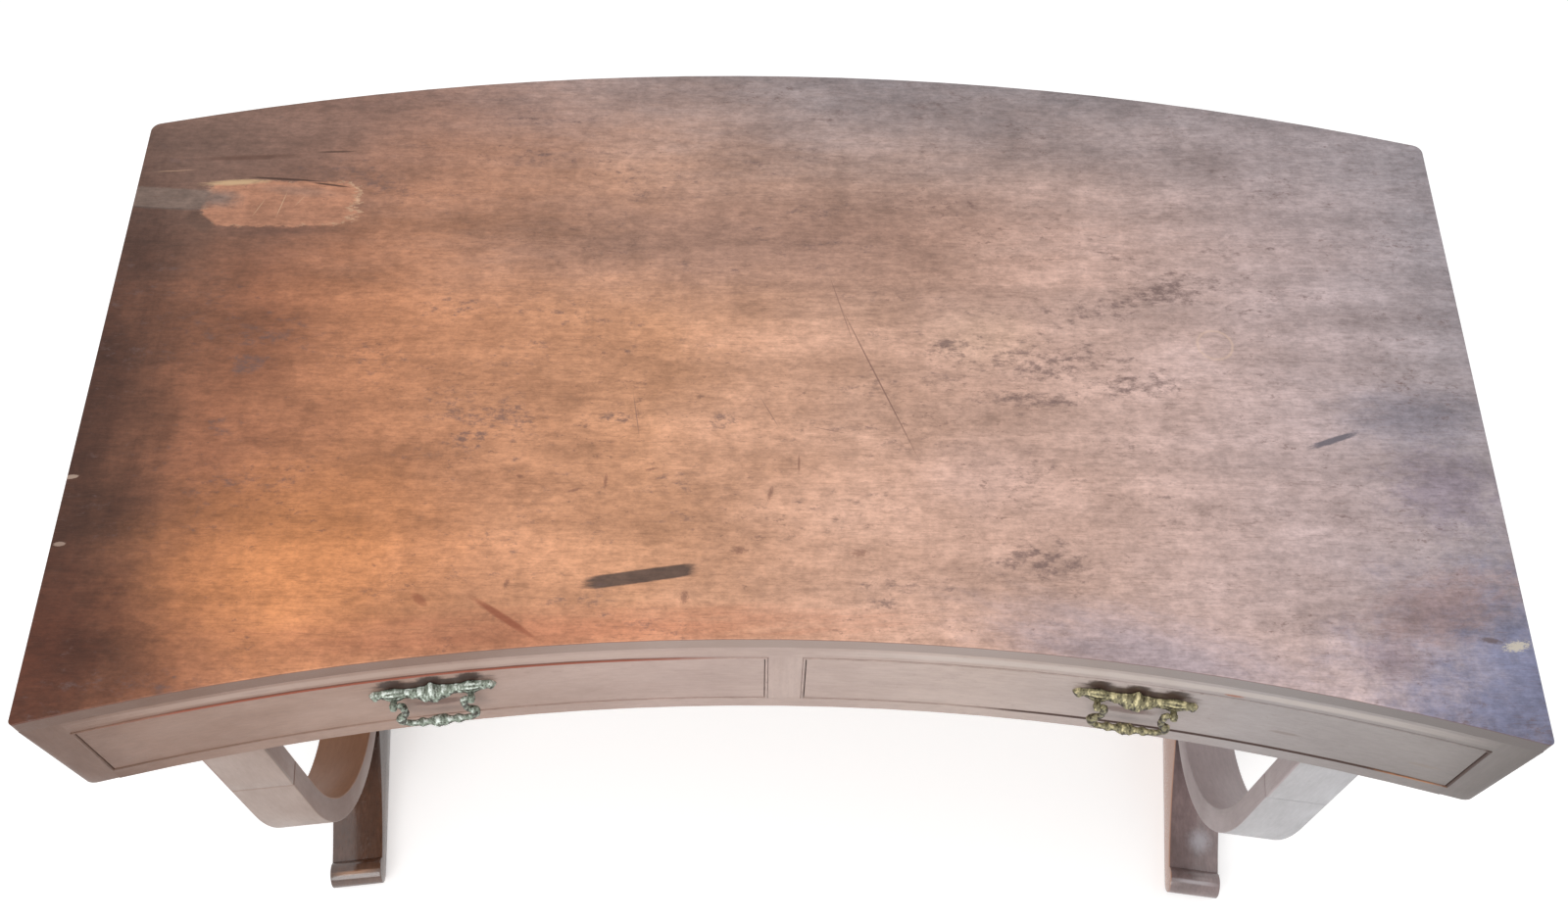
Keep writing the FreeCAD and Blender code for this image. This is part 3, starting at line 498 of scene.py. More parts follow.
@dataclass(frozen=True)
class Mark:
    """Wear, staining, a repair or painted light on a wooden face: an ellipse, where it lies and
    what it does.
    """

    centre: Pair
    half: Pair
    colour: Colour = SOIL
    strength: float = 0.5
    turn: float = 0.0
    edge: float = 0.6
    ragged: float = 0.8
    power: float = 2.0
    plane: Plane = Plane.TOP
    layer: Layer = Layer.OVER
    ring: bool = False
    sunk: bool = False

    def mask(self, shade: Shade, effects: Effects, place: NodeSocket) -> NodeSocket:
        """Adds the nodes that say where the mark is: the ellipse becomes a unit circle.

        The vector only carries the noise of the rim; the two coordinates are worked out as values,
        so that the renderer need not hold a vector for every mark. On the front only the show face
        counts, whose points lie on the front's arc in plan.

        Args:
            shade: the material's nodes.
            effects: the shared groups.
            place: object coordinates.

        Returns:
            The mark's mask, times its strength.
        """
        first, second = (shade.part(place, "XYZ"[axis]) for axis in self.plane.value[:2])
        angle = math.radians(self.turn)
        spin = [0.0, 0.0, 0.0]
        spin[self.plane.value[2]] = angle
        moved = {"Vector": place, "Location": self.plane.lay(self.centre, 0.0)}
        moved.update({"Rotation": spin, "Scale": self.plane.lay(self.half, FLAT)})
        local = shade.node("ShaderNodeMapping", moved, vector_type="TEXTURE").outputs[0]
        lean = math.sin(angle) if self.plane is Plane.TOP else -math.sin(angle)
        rows = {"Across": (math.cos(angle), lean), "Along": (-lean, math.cos(angle))}
        shape = {"Vector": local, "Edge": self.edge, "Ragged": self.ragged, "Power": self.power}
        for (way, row), half in zip(rows.items(), self.half):
            start = -(row[0] * self.centre[0] + row[1] * self.centre[1]) / half
            partly = shade.math("MULTIPLY_ADD", second, row[1] / half, start)
            shape[way] = shade.math("MULTIPLY_ADD", first, row[0] / half, partly)
        spot = shade.node("ShaderNodeGroup", shape, node_tree=effects.spot)
        inside = shade.math("MULTIPLY", spot.outputs["Rim" if self.ring else "Mask"], self.strength)
        if self.plane is Plane.TOP:
            return inside
        away = shade.vector("SUBTRACT", place, (0, FRONT_CENTRE, 0))
        reach = shade.vector("LENGTH", shade.vector("MULTIPLY", away, (1, 1, 0)))
        face = shade.remap(reach, FRONT_RADIUS + FACE_DEPTH, FRONT_RADIUS + FACE_DEPTH / 2)
        return shade.math("MULTIPLY", inside, face)


@dataclass(frozen=True)
class Wood:
    """A wooden finish: its tone from the desk's left to its right, its grain, soil and polish."""

    name: str
    tones: Tones
    grain: Grain = Grain.ALONG_X
    band: float = 0.1
    streak: float = 0.06
    cloud: float = 0.2
    figure: float = 0.05
    mottle: float = 0.1
    scuff: float = 0.5
    pore: float = 0.25
    soil: float = 0.3
    gloss: float = 0.42
    shine: float = 0.25
    wander: float = 0.2
    depth: float = 0.0003
    pit: float = 0.0012
    linings: tuple[tuple[float, float, Tones], ...] = ()
    edge_tones: Tones = ()
    marks: tuple[Mark, ...] = ()

    def build(self, effects: Effects) -> Material:
        """Makes the material: tone, stains, grain, linings, marks, edge, polish and relief.

        Args:
            effects: the shared groups.

        Returns:
            The new material.
        """
        material, shade, bsdf = begin(self.name)
        place = shade.place()
        if self.grain is Grain.MAPPED:
            lay = shade.node("ShaderNodeUVMap", {}, uv_map="grain").outputs[0]
        else:
            turned = {"Vector": place, "Rotation": self.grain.value}
            lay = shade.node("ShaderNodeMapping", turned).outputs[0]
        bias = 0.0
        for mark in self.on(Layer.SOIL):
            bias = shade.math("MAXIMUM", bias, mark.mask(shade, effects, place))
        wood = shade.node("ShaderNodeGroup", {"Vector": lay, "Bias": bias}, node_tree=effects.grain)
        colour = self.spread(shade, wood, place, self.tones)
        for mark in self.on(Layer.WASH):
            colour = shade.mix(mark.mask(shade, effects, place), colour, mark.colour)
        colour = self.grained(shade, wood, colour)
        # Linings give other faces of a piece their own tones; on the legs these are painted light.
        for low, high, tones in self.linings:
            side = shade.part(lay, "Y")
            above = shade.remap(side, low - HAIR, low + HAIR)
            inside = shade.math("MULTIPLY", above, shade.remap(side, high + HAIR, high - HAIR))
            lining = self.grained(shade, wood, self.spread(shade, wood, place, tones))
            colour = shade.mix(inside, colour, lining)
        for mark in self.on(Layer.OVER):
            colour = shade.mix(mark.mask(shade, effects, place), colour, mark.colour)
        # The top's edge face below TOP_EDGE gets its own darker, greyer tones: painted shade and
        # painted reflection.
        if self.edge_tones:
            height = shade.part(place, "Z")
            edge = shade.remap(height, TOP_EDGE + 0.0005, TOP_EDGE - 0.0005)
            colour = shade.mix(edge, colour, self.spread(shade, wood, place, self.edge_tones))
            off = shade.math("ABSOLUTE", shade.math("SUBTRACT", height, TOP_EDGE))
            arris = shade.math("MULTIPLY", shade.remap(off, 0.0011, 0.0003), 0.55)
            colour = shade.mix(arris, colour, ARRIS)
        dull, bright = self.gloss + 0.1, self.gloss - 0.08
        rough = shade.remap(wood.outputs["Cloud"], NOISE_LOW, NOISE_HIGH, dull, bright)
        relief = {"Height": wood.outputs["Height"], "Strength": 0.3, "Distance": self.depth}
        for mark in self.marks:
            if mark.sunk:
                sunk = {"Height": mark.mask(shade, effects, place), "Distance": self.pit}
                relief["Normal"] = shade.node("ShaderNodeBump", sunk, invert=True).outputs[0]
        ripple = shade.node("ShaderNodeBump", relief).outputs[0]
        shade.wire(bsdf, {"Base Color": colour, "Roughness": rough, "Normal": ripple})
        shade.wire(bsdf, {"Specular IOR Level": self.shine})
        return material

    def on(self, layer: Layer) -> list[Mark]:
        """The marks of one layer, in order."""
        return [mark for mark in self.marks if mark.layer is layer]

    def grained(self, shade: Shade, wood: Node, colour: NodeSocket) -> NodeSocket:
        """Shades a tone by the grain and lays soil, scuffs and pores over it.

        Args:
            shade: the material's nodes.
            wood: the grain group's node.
            colour: the tone.

        Returns:
            The colour.
        """
        depths = {"Band": self.band, "Streak": self.streak, "Cloud": self.cloud}
        depths.update({"Figure": self.figure, "Mottle": self.mottle})
        for label, depth in depths.items():
            value = wood.outputs[label]
            deep = shade.remap(value, NOISE_LOW, NOISE_HIGH, 1.0 - depth, 1.0 + depth)
            colour = shade.mix(1.0, colour, deep, "MULTIPLY")
        dirt = {"Soil": (self.soil, SOIL), "Scuff": (self.scuff, SCUFF), "Pore": (self.pore, PORE)}
        for label, (share, dark) in dirt.items():
            colour = shade.mix(shade.math("MULTIPLY", wood.outputs[label], share), colour, dark)
        return colour

    def spread(self, shade: Shade, wood: Node, place: NodeSocket, tones: Tones) -> NodeSocket:
        """Tones laid out along the desk's length, wandering with the grain's clouds.

        Args:
            shade: the material's nodes.
            wood: the grain group's node.
            place: object coordinates.
            tones: places along X and their colours.

        Returns:
            The colour.
        """
        off = shade.math("SUBTRACT", wood.outputs["Cloud"], 0.5)
        drift = shade.math("MULTIPLY_ADD", off, self.wander, shade.part(place, "X"))
        inputs = {"Value": drift, "From Min": -TONE_REACH, "From Max": TONE_REACH}
        where = shade.node("ShaderNodeMapRange", inputs).outputs[0]
        stops = tuple(((x + TONE_REACH) / (2 * TONE_REACH), tone) for x, tone in tones)
        return shade.ramp(where, stops)


@dataclass(frozen=True)
class Casting:
    """Old cast brass: patina, pale high parts with painted highlight, dirt in hollows with painted
    shade.
    """

    name: str
    high: Colour
    patina: Colour
    hollow: Colour
    metal: float = 0.25
    gloss: float = 0.5
    depth: float = 0.0012

    def build(self) -> Material:
        """Makes the material from the piece's relief, painted light in it, and noise in object
        coordinates.

        Returns:
            The new material.
        """
        material, shade, bsdf = begin(self.name)
        place = shade.place()
        relief = shade.node("ShaderNodeAttribute", {}, attribute_name="relief").outputs["Fac"]
        coarse = shade.noise(place, (150.0, 150.0, 150.0), 4.0, 0.6)
        fine = shade.noise(place, (420.0, 420.0, 420.0), 4.0, 0.65)
        sunk = shade.math("MULTIPLY_ADD", shade.math("SUBTRACT", fine, 0.5), 1.2, relief)
        rubbed = shade.math("MULTIPLY_ADD", shade.math("SUBTRACT", coarse, 0.5), 0.9, sunk)
        # The relief's upward term makes the pale colour a painted highlight on upward faces and the
        # hollow colour painted shade on downward ones.
        colour = shade.mix(shade.remap(rubbed, 0.74, 1.06), self.patina, self.high)
        colour = shade.mix(shade.remap(sunk, 0.38, 0.72, 1.0, 0.0), colour, self.hollow)
        bump = {"Height": shade.math("ADD", coarse, fine), "Strength": 0.5, "Distance": self.depth}
        pits = shade.node("ShaderNodeBump", bump).outputs[0]
        rough = shade.remap(fine, 0.35, 0.65, self.gloss - 0.1, self.gloss + 0.15)
        shade.wire(bsdf, {"Base Color": colour, "Roughness": rough, "Normal": pits})
        shade.wire(bsdf, {"Metallic": self.metal})
        return material


@dataclass(frozen=True)
class Iron:
    """Plain steel of the fixings, dulled by age."""

    name: str = "dull_steel"
    bright: Colour = srgb(150, 148, 142)
    rust: Colour = srgb(92, 68, 50)
    metal: float = 0.8

    def build(self) -> Material:
        """Makes the material: grey metal with brown bloom in noise.

        Returns:
            The new material.
        """
        material, shade, bsdf = begin(self.name)
        bloom = shade.remap(shade.noise(shade.place(), (300.0, 300.0, 300.0), 4.0), 0.42, 0.6)
        colour = shade.mix(bloom, self.bright, self.rust)
        rough = shade.remap(bloom, 0.0, 1.0, 0.35, 0.7)
        shade.wire(bsdf, {"Base Color": colour, "Roughness": rough, "Metallic": self.metal})
        return material


# Tones along X. In the tables down to BASE_TONES the grey-blue cast that grows towards the right is
# a painted reflection, and the dark left end of the top is partly painted shadow.
TOP_TONES = toned(
    (-0.79, 84, 54, 42), (-0.7, 112, 74, 56), (-0.6, 150, 98, 72), (-0.44, 184, 126, 92),
    (-0.15, 202, 148, 114), (0.08, 199, 157, 135), (0.35, 194, 162, 150), (0.58, 184, 163, 161),
    (0.78, 156, 146, 150),
)
FRONT_TONES = toned(
    (-0.76, 80, 54, 42), (-0.64, 124, 95, 80), (-0.42, 148, 121, 107), (-0.1, 168, 145, 136),
    (0.2, 175, 156, 147), (0.48, 151, 142, 140), (0.66, 134, 126, 123), (0.76, 76, 68, 64),
)
EDGE_TONES = toned(
    (-0.76, 84, 58, 46), (-0.6, 106, 78, 64), (-0.36, 122, 95, 82), (-0.1, 150, 129, 119),
    (0.2, 150, 134, 127), (0.48, 130, 121, 118), (0.76, 92, 84, 82),
)
END_TONES = toned(
    (-0.76, 118, 88, 74), (-0.3, 134, 106, 92), (0.3, 140, 122, 114), (0.76, 124, 114, 110),
)
LEG_TONES = toned(
    (-0.7, 149, 131, 122), (-0.55, 147, 127, 117), (0.55, 170, 167, 168), (0.7, 180, 179, 183),
)
LEG_SIDE_TONES = toned(
    (-0.7, 138, 112, 103), (-0.55, 138, 112, 102), (0.55, 164, 150, 150), (0.7, 168, 156, 158),
)
LEG_INSIDE_TONES = toned(
    (-0.7, 150, 106, 78), (-0.55, 154, 110, 82), (0.55, 184, 170, 172), (0.7, 188, 176, 178),
)
BASE_TONES = toned(
    (-0.7, 74, 48, 38), (-0.55, 92, 62, 46), (0.55, 132, 111, 109), (0.7, 126, 108, 108),
)
BARE_TONES = toned((-0.8, 150, 110, 78), (0.8, 158, 120, 88))


class WearAndPaintedLight:
    """All staining, rubbing, scratches, repairs and painted light of the desk, as marks on its
    faces.
    """

    STRAW = srgb(202, 164, 134)
    FRESH = srgb(178, 126, 100)
    SCAR = srgb(132, 100, 88)
    NICK = srgb(112, 74, 62)
    RIM = srgb(70, 46, 36)
    # Dirt and painted shadow above the pull plates.
    GRIME_AND_SHADOW = srgb(54, 36, 30)
    # A painted warm reflection on the left foot.
    PAINTED_WARM_REFLECTION = srgb(172, 124, 68)
    RED_BEAD = srgb(140, 70, 48)
    # Dark bead wood with painted shadow.
    DARK_BEAD_AND_SHADOW = srgb(62, 40, 32)

    @classmethod
    def top(cls) -> tuple[Mark, ...]:
        """All marks of the top, the widest first."""
        return cls.washes() + cls.soil() + cls.lost_veneer() + cls.scratches()

    @staticmethod
    def washes() -> tuple[Mark, ...]:
        """Broad washes under the grain: painted reflection at back and right, a rubbed middle, a
        dark left end.

        Returns:
            The marks, the lowest first.
        """
        broad_wash = partial(Mark, edge=0.9, layer=Layer.WASH)
        return (
            # A grey painted reflection over the back of the top.
            broad_wash((0.2, 0.54), (1.5, 0.43), srgb(132, 126, 130), 0.95, ragged=0.4),
            broad_wash((-0.7, 0.32), (0.44, 0.28), srgb(128, 99, 87), 0.85, ragged=0.5),
            broad_wash((-0.05, 0.168), (0.6, 0.13), srgb(156, 121, 106), 0.85, ragged=0.7, power=3.0),
            broad_wash((0.22, 0.03), (0.09, 0.06), srgb(218, 180, 158), 0.6, ragged=0.9),
            broad_wash((0.22, -0.15), (0.12, 0.07), srgb(182, 150, 138), 0.65, ragged=0.9),
            # This wash and the next, grey-blue on the right: painted reflection.
            broad_wash((0.36, -0.36), (0.24, 0.07), srgb(154, 142, 150), 0.75, -14.0, ragged=1.0),
            broad_wash((0.69, -0.07), (0.13, 0.06), srgb(126, 120, 130), 0.8, ragged=1.2),
            broad_wash((-0.5, -0.26), (0.22, 0.16), srgb(212, 140, 88), 0.65, 8.0, ragged=0.6),
            broad_wash((-0.22, -0.342), (0.42, 0.04), srgb(172, 108, 80), 0.65, 3.0, ragged=1.2),
            # The bluish right front corner and the greyish washes after it: painted reflection.
            broad_wash((0.75, -0.4), (0.25, 0.21), srgb(110, 114, 142), 0.88, ragged=1.5),
            broad_wash((0.66, -0.3), (0.12, 0.05), srgb(164, 136, 132), 0.7, 20.0, ragged=2.2),
            broad_wash((0.7, -0.16), (0.09, 0.07), srgb(132, 120, 136), 0.6, ragged=2.2),
            broad_wash((0.6, -0.36), (0.05, 0.03), srgb(142, 124, 130), 0.7, ragged=2.2),
            # The dark left end and left front corner: darkened wood and painted shadow.
            broad_wash((-0.785, -0.1), (0.15, 0.56), srgb(70, 42, 31), 0.95, 3.9, ragged=1.0),
            broad_wash((-0.74, -0.38), (0.17, 0.16), srgb(84, 46, 32), 0.92, ragged=0.9),
        )

    @staticmethod
    def soil() -> tuple[Mark, ...]:
        """Where soil is rubbed deeper into the top's grain: wide veils, and spots within them.

        Returns:
            The marks, with how much more soil each has as its strength.
        """
        veil = partial(Mark, edge=0.9, ragged=1.0, layer=Layer.SOIL)
        spot = partial(Mark, edge=0.9, ragged=0.8, layer=Layer.SOIL)
        return (
            veil((0.36, 0.0), (0.26, 0.1), strength=0.13),
            veil((-0.33, -0.08), (0.14, 0.06), strength=0.18),
            veil((0.15, -0.02), (0.14, 0.06), strength=0.12),
            veil((0.27, -0.27), (0.1, 0.05), strength=0.16),
            veil((-0.6, 0.02), (0.1, 0.05), strength=0.16),
            spot((-0.343, -0.112), (0.041, 0.033), strength=0.22),
            spot((-0.19, -0.087), (0.081, 0.018), strength=0.21),
            spot((-0.071, -0.085), (0.03, 0.018), strength=0.22),
            spot((0.275, -0.05), (0.135, 0.021), strength=0.22),
            spot((-0.596, -0.02), (0.041, 0.03), strength=0.22),
            spot((0.437, 0.099), (0.095, 0.03), strength=0.19),
            spot((0.395, -0.03), (0.095, 0.033), strength=0.22),
            spot((0.183, 0.014), (0.047, 0.027), strength=0.22),
            spot((0.366, 0.075), (0.081, 0.03), strength=0.19),
        )

    @classmethod
    def lost_veneer(cls) -> tuple[Mark, ...]:
        """The patch at the back left where veneer is lost: painted shadow, bare wood, a filled
        strip, torn rims.

        Returns:
            The marks, the lowest first.
        """
        bare = partial(Mark, layer=Layer.WASH)
        strip = partial(bare, edge=0.25, ragged=0.3, power=6.0)
        tear = partial(Mark, colour=cls.RIM)
        fibre = partial(Mark, colour=cls.STRAW, edge=0.5, ragged=0.2)
        return (
            # A dark band along the patch's front edge: painted shadow.
            bare((-0.6, 0.171), (0.1, 0.013), srgb(98, 70, 60), 0.6, 4.0, 0.9, 0.6),
            bare((-0.606, 0.2148), (0.0925, 0.0345), cls.STRAW, 0.7, 1.5, 0.03, 0.75, 6.0),
            bare((-0.609, 0.2144), (0.0915, 0.0362), cls.FRESH, 1.0, 1.5, 0.06, 0.75, 6.0),
            bare((-0.59, 0.235), (0.07, 0.012), srgb(152, 116, 99), 0.75, -5.0, 0.9, 1.2),
            bare((-0.684, 0.221), (0.04, 0.02), srgb(120, 102, 94), 0.9, -3.0, 0.9, 0.8, 3.0),
            strip((-0.745, 0.22), (0.056, 0.0185), srgb(124, 104, 94), 0.95, -3.0, sunk=True),
            bare((-0.698, 0.184), (0.024, 0.0125), srgb(102, 75, 63), 0.95, -38.0, 0.4, 0.5, 4.0),
            Mark((-0.667, 0.247), (0.05, 0.006), srgb(204, 170, 132), 0.9, 5.0, 0.7, 1.6),
            tear((-0.61, 0.2535), (0.055, 0.0022), strength=0.9, turn=-3.0, edge=0.5, ragged=0.6),
            tear((-0.553, 0.2455), (0.03, 0.0018), strength=0.9, turn=-8.0, edge=0.5, ragged=0.6),
            fibre((-0.606, 0.213), (0.024, 0.0008), strength=0.8, turn=82.0),
            fibre((-0.632, 0.208), (0.018, 0.0007), strength=0.6, turn=70.0),
            fibre((-0.585, 0.22), (0.012, 0.0007), strength=0.6, turn=60.0),
            Mark((-0.66, 0.288), (0.085, 0.006), srgb(92, 62, 50), 0.7, 4.0, 0.8, 0.9),
            tear((-0.555, 0.3), (0.03, 0.002), strength=0.8, turn=3.0, ragged=0.9),
            Mark((-0.745, 0.264), (0.03, 0.0009), cls.STRAW, 0.5, 5.0, 0.5, 0.3),
        )

    @classmethod
    def scratches(cls) -> tuple[Mark, ...]:
        """The inlaid dash, red scrapes, long scratches, nicks, a glass ring and chipped ends.

        Returns:
            The marks, the lowest first.
        """
        scratch = partial(Mark, colour=cls.SCAR, edge=0.5, ragged=0.1)
        nick = partial(Mark, colour=cls.NICK, strength=0.6, edge=0.8, ragged=2.4)
        glass = partial(Mark, edge=0.12, ragged=0.2, ring=True)
        dash = partial(Mark, edge=0.25, ragged=0.4, power=6.0, layer=Layer.WASH)
        return (
            dash((-0.149, -0.2775), (0.063, 0.0085), srgb(84, 66, 58), 0.94, 9.5),
            Mark((-0.283, -0.325), (0.05, 0.005), srgb(134, 70, 48), 0.75, -33.0, ragged=0.7),
            Mark((-0.368, -0.307), (0.013, 0.006), srgb(136, 76, 54), 0.6, -40.0),
            scratch((0.1, -0.03), (0.131, 0.0011), strength=0.85, turn=-68.5),
            scratch((0.06, 0.07), (0.06, 0.0009), strength=0.6, turn=-75.0),
            scratch((-0.165, -0.08), (0.034, 0.0008), strength=0.6, turn=-80.0),
            scratch((-0.02, -0.075), (0.026, 0.0008), strength=0.6, turn=-62.0),
            scratch((0.045, -0.097), (0.024, 0.0009), strength=0.6, turn=-12.0),
            nick((-0.283, -0.161), (0.006, 0.003), turn=-20.0),
            nick((-0.224, -0.177), (0.011, 0.0025), turn=15.0),
            nick((-0.145, -0.150), (0.010, 0.0025), turn=12.0),
            nick((-0.192, -0.165), (0.003, 0.012)),
            nick((-0.018, -0.178), (0.004, 0.012), turn=-12.0),
            nick((-0.049, -0.246), (0.010, 0.006), turn=-10.0),
            nick((0.075, -0.247), (0.013, 0.006)),
            nick((0.012, -0.140), (0.002, 0.014)),
            nick((-0.103, -0.300), (0.006, 0.010)),
            nick((-0.283, -0.288), (0.004, 0.008), turn=-10.0),
            glass((0.483, 0.026), (0.022, 0.022), srgb(222, 190, 168), 0.45),
            Mark((0.593, -0.1), (0.036, 0.0045), srgb(92, 88, 98), 0.85, 20.0, 0.5, 1.2, 4.0),
            Mark((0.728, -0.342), (0.016, 0.006), srgb(204, 194, 176), 0.85, 10.0, 0.5, 4.0),
            Mark((0.704, -0.336), (0.014, 0.004), srgb(92, 74, 70), 0.7, -10.0, 0.6, 2.0),
            Mark((-0.752, -0.17), (0.009, 0.003), srgb(176, 152, 136), 0.8, 8.0, 0.3, 1.2),
            Mark((-0.742, -0.25), (0.007, 0.003), srgb(170, 146, 132), 0.7, 4.0, 0.3, 1.2),
        )

    @classmethod
    def front(cls) -> tuple[Mark, ...]:
        """Small bruises, polish, dirt and painted shadow round the pulls, and lines along the
        front.

        Returns:
            The marks.
        """
        front_dab = partial(Mark, edge=0.5, ragged=1.1, plane=Plane.FRONT)
        line = partial(Mark, edge=0.5, ragged=0.5, power=8.0, plane=Plane.FRONT)
        marks = [
            front_dab((-0.52, 0.73), (0.02, 0.004), srgb(96, 66, 54), 0.6),
            front_dab((0.52, 0.655), (0.02, 0.004), srgb(120, 104, 98), 0.6),
            front_dab((0.45, 0.7225), (0.012, 0.003), srgb(150, 90, 62), 0.8),
            front_dab((0.66, 0.649), (0.02, 0.004), srgb(128, 114, 106), 0.6),
        ]
        for side in Side:
            x = side.value * 0.3605
            # Above each plate, dirt and a painted shadow of the plate.
            marks.append(front_dab((x, 0.695), (0.072, 0.012), cls.GRIME_AND_SHADOW, 0.95, power=4.0))
            # Under each plate, a painted shadow.
            marks.append(front_dab((x, 0.648), (0.034, 0.01), srgb(92, 62, 52), 0.7))
            # The lobes of the dirt and painted shadow above the plate, over the posts and its
            # middle.
            for aside in (-0.039, 0.0, 0.039):
                marks.append(front_dab((x + aside, 0.703), (0.017, 0.0135), cls.GRIME_AND_SHADOW, 0.95))
        return (
            *marks,
            # The dark line over the left bead is dirt and painted shadow in the gap; the last one,
            # at the right drawer's foot, is painted shadow.
            line((-0.37, 0.7192), (0.34, 0.0016), srgb(98, 58, 44), 0.9),
            line((-0.37, 0.7138), (0.33, 0.001), srgb(104, 66, 52), 0.75),
            line((0.46, 0.615), (0.25, 0.001), srgb(74, 50, 40), 0.75),
            line((-0.36, 0.7305), (0.36, 0.0075), srgb(176, 153, 141), 0.5),
            line((0.36, 0.7305), (0.36, 0.0075), srgb(196, 184, 176), 0.5),
        )

    @classmethod
    def foot(cls) -> tuple[Mark, ...]:
        """Painted shadow under the yokes; painted highlights and warm reflections on the slopes and
        toes.

        Returns:
            The marks.
        """
        dab = partial(Mark, edge=0.9)
        return (
            # Painted shadow under each yoke.
            dab((-0.605, -0.16), (0.05, 0.12), srgb(46, 33, 29), 0.85, 7.0, ragged=0.5),
            dab((0.605, -0.16), (0.05, 0.11), srgb(84, 68, 70), 0.7, -7.0, ragged=0.5),
            # Painted warm reflections on the left foot.
            dab((-0.634, -0.215), (0.013, 0.05), cls.PAINTED_WARM_REFLECTION, 0.75, 7.0),
            dab((-0.614, -0.17), (0.014, 0.02), cls.PAINTED_WARM_REFLECTION, 0.75, 7.0),
            # A painted highlight on the right foot's slope.
            Mark((0.609, -0.318), (0.024, 0.024), srgb(196, 194, 202), 0.5, -7.0, 0.95, 1.0),
            # Painted highlights along the rolled toes.
            dab((-0.5945, -0.378), (0.04, 0.004), srgb(190, 140, 104), 0.6, 7.0, power=4.0),
            dab((0.5945, -0.378), (0.04, 0.004), srgb(200, 192, 196), 0.6, -7.0, power=4.0),
            Mark((0.5776, -0.222), (0.0018, 0.2), srgb(190, 146, 124), 0.85, -7.0, 0.3, 0.2, 8.0),
        )

    @classmethod
    def bead(cls) -> tuple[Mark, ...]:
        """Red and dark wood on the beads over the front's painted haze; the dark is partly painted
        shadow.

        Returns:
            The marks: the left drawer's top, the right drawer's bottom and outer end.
        """
        dab = partial(Mark, strength=0.92, power=6.0, plane=Plane.FRONT)
        return (
            dab((-0.37, 0.7172), (0.335, 0.0065), cls.RED_BEAD, edge=0.4, ragged=0.7),
            # Dark wood and painted shadow along the right drawer's bottom and outer end.
            dab((0.45, 0.6113), (0.27, 0.0065), cls.DARK_BEAD_AND_SHADOW, edge=0.3, ragged=0.4),
            dab((0.698, 0.66), (0.0065, 0.07), cls.DARK_BEAD_AND_SHADOW, edge=0.25, ragged=0.3),
            # A painted highlight at the right drawer's lower outer corner.
            dab((0.66, 0.612), (0.045, 0.003), srgb(176, 122, 84), edge=0.8, ragged=1.6),
        )


class Palette:
    """Every finish of the desk, built once."""

    def __init__(self, effects: Effects) -> None:
        """Builds the materials.

        Args:
            effects: the shared groups.
        """
        figured = {"band": 0.12, "streak": 0.08, "figure": 0.06, "mottle": 0.2, "soil": 0.75}
        top = Wood("polished_top", TOP_TONES, edge_tones=EDGE_TONES, marks=WearAndPaintedLight.top(), **figured)
        calm = {"band": 0.03, "streak": 0.05, "cloud": 0.07, "figure": 0.0, "mottle": 0.03}
        calm.update({"scuff": 0.2, "pore": 0.1, "soil": 0.2, "wander": 0.12})
        # Ranges of the map's distance round a leg's section, and the tones that line them: painted
        # light, as the outer face's grey is a painted reflection and the sides are darker as
        # painted shade.
        sides = (
            (0.0705, 0.1, LEG_SIDE_TONES),
            (0.169, 1.0, LEG_SIDE_TONES),
            (-1.0, 0.0705, LEG_INSIDE_TONES),
        )
        dark = {"band": 0.12, "streak": 0.1, "cloud": 0.25, "gloss": 0.1, "shine": 1.0}
        foot = Wood("dark_foot", BASE_TONES, Grain.ALONG_Y, marks=WearAndPaintedLight.foot(), **dark)
        bead = Wood("red_bead", FRONT_TONES, Grain.MAPPED, marks=WearAndPaintedLight.bead())
        bare = Wood("bare_wood", BARE_TONES, Grain.ALONG_Y, gloss=0.7, shine=0.2)
        self.top = top.build(effects)
        # The front, stile, back, end and leg finishes carry a grey haze in their tones that is a
        # painted reflection.
        self.front = Wood("hazed_front", FRONT_TONES, marks=WearAndPaintedLight.front(), **calm).build(effects)
        self.stile = Wood("hazed_stile", FRONT_TONES, Grain.ALONG_Z, **calm).build(effects)
        self.back = Wood("hazed_back", END_TONES, **calm).build(effects)
        self.end = Wood("hazed_end", END_TONES, Grain.ALONG_Y, **calm).build(effects)
        leg = Wood("hazed_leg", LEG_TONES, Grain.MAPPED, linings=sides, **calm)
        self.leg = leg.build(effects)
        self.base = foot.build(effects)
        self.bead = bead.build(effects)
        self.bare = bare.build(effects)
        # Each brass: a pale colour that is partly painted highlight, patina, and a dark colour that
        # is dirt and painted shade.
        grey = srgb(222, 230, 222), srgb(136, 146, 132), srgb(44, 38, 27)
        yellow = srgb(218, 206, 160), srgb(136, 129, 98), srgb(42, 33, 22)
        self.pale = Casting("grey_green_brass", *grey).build()
        self.gilt = Casting("yellow_green_brass", *yellow).build()
        self.steel = Iron().build()


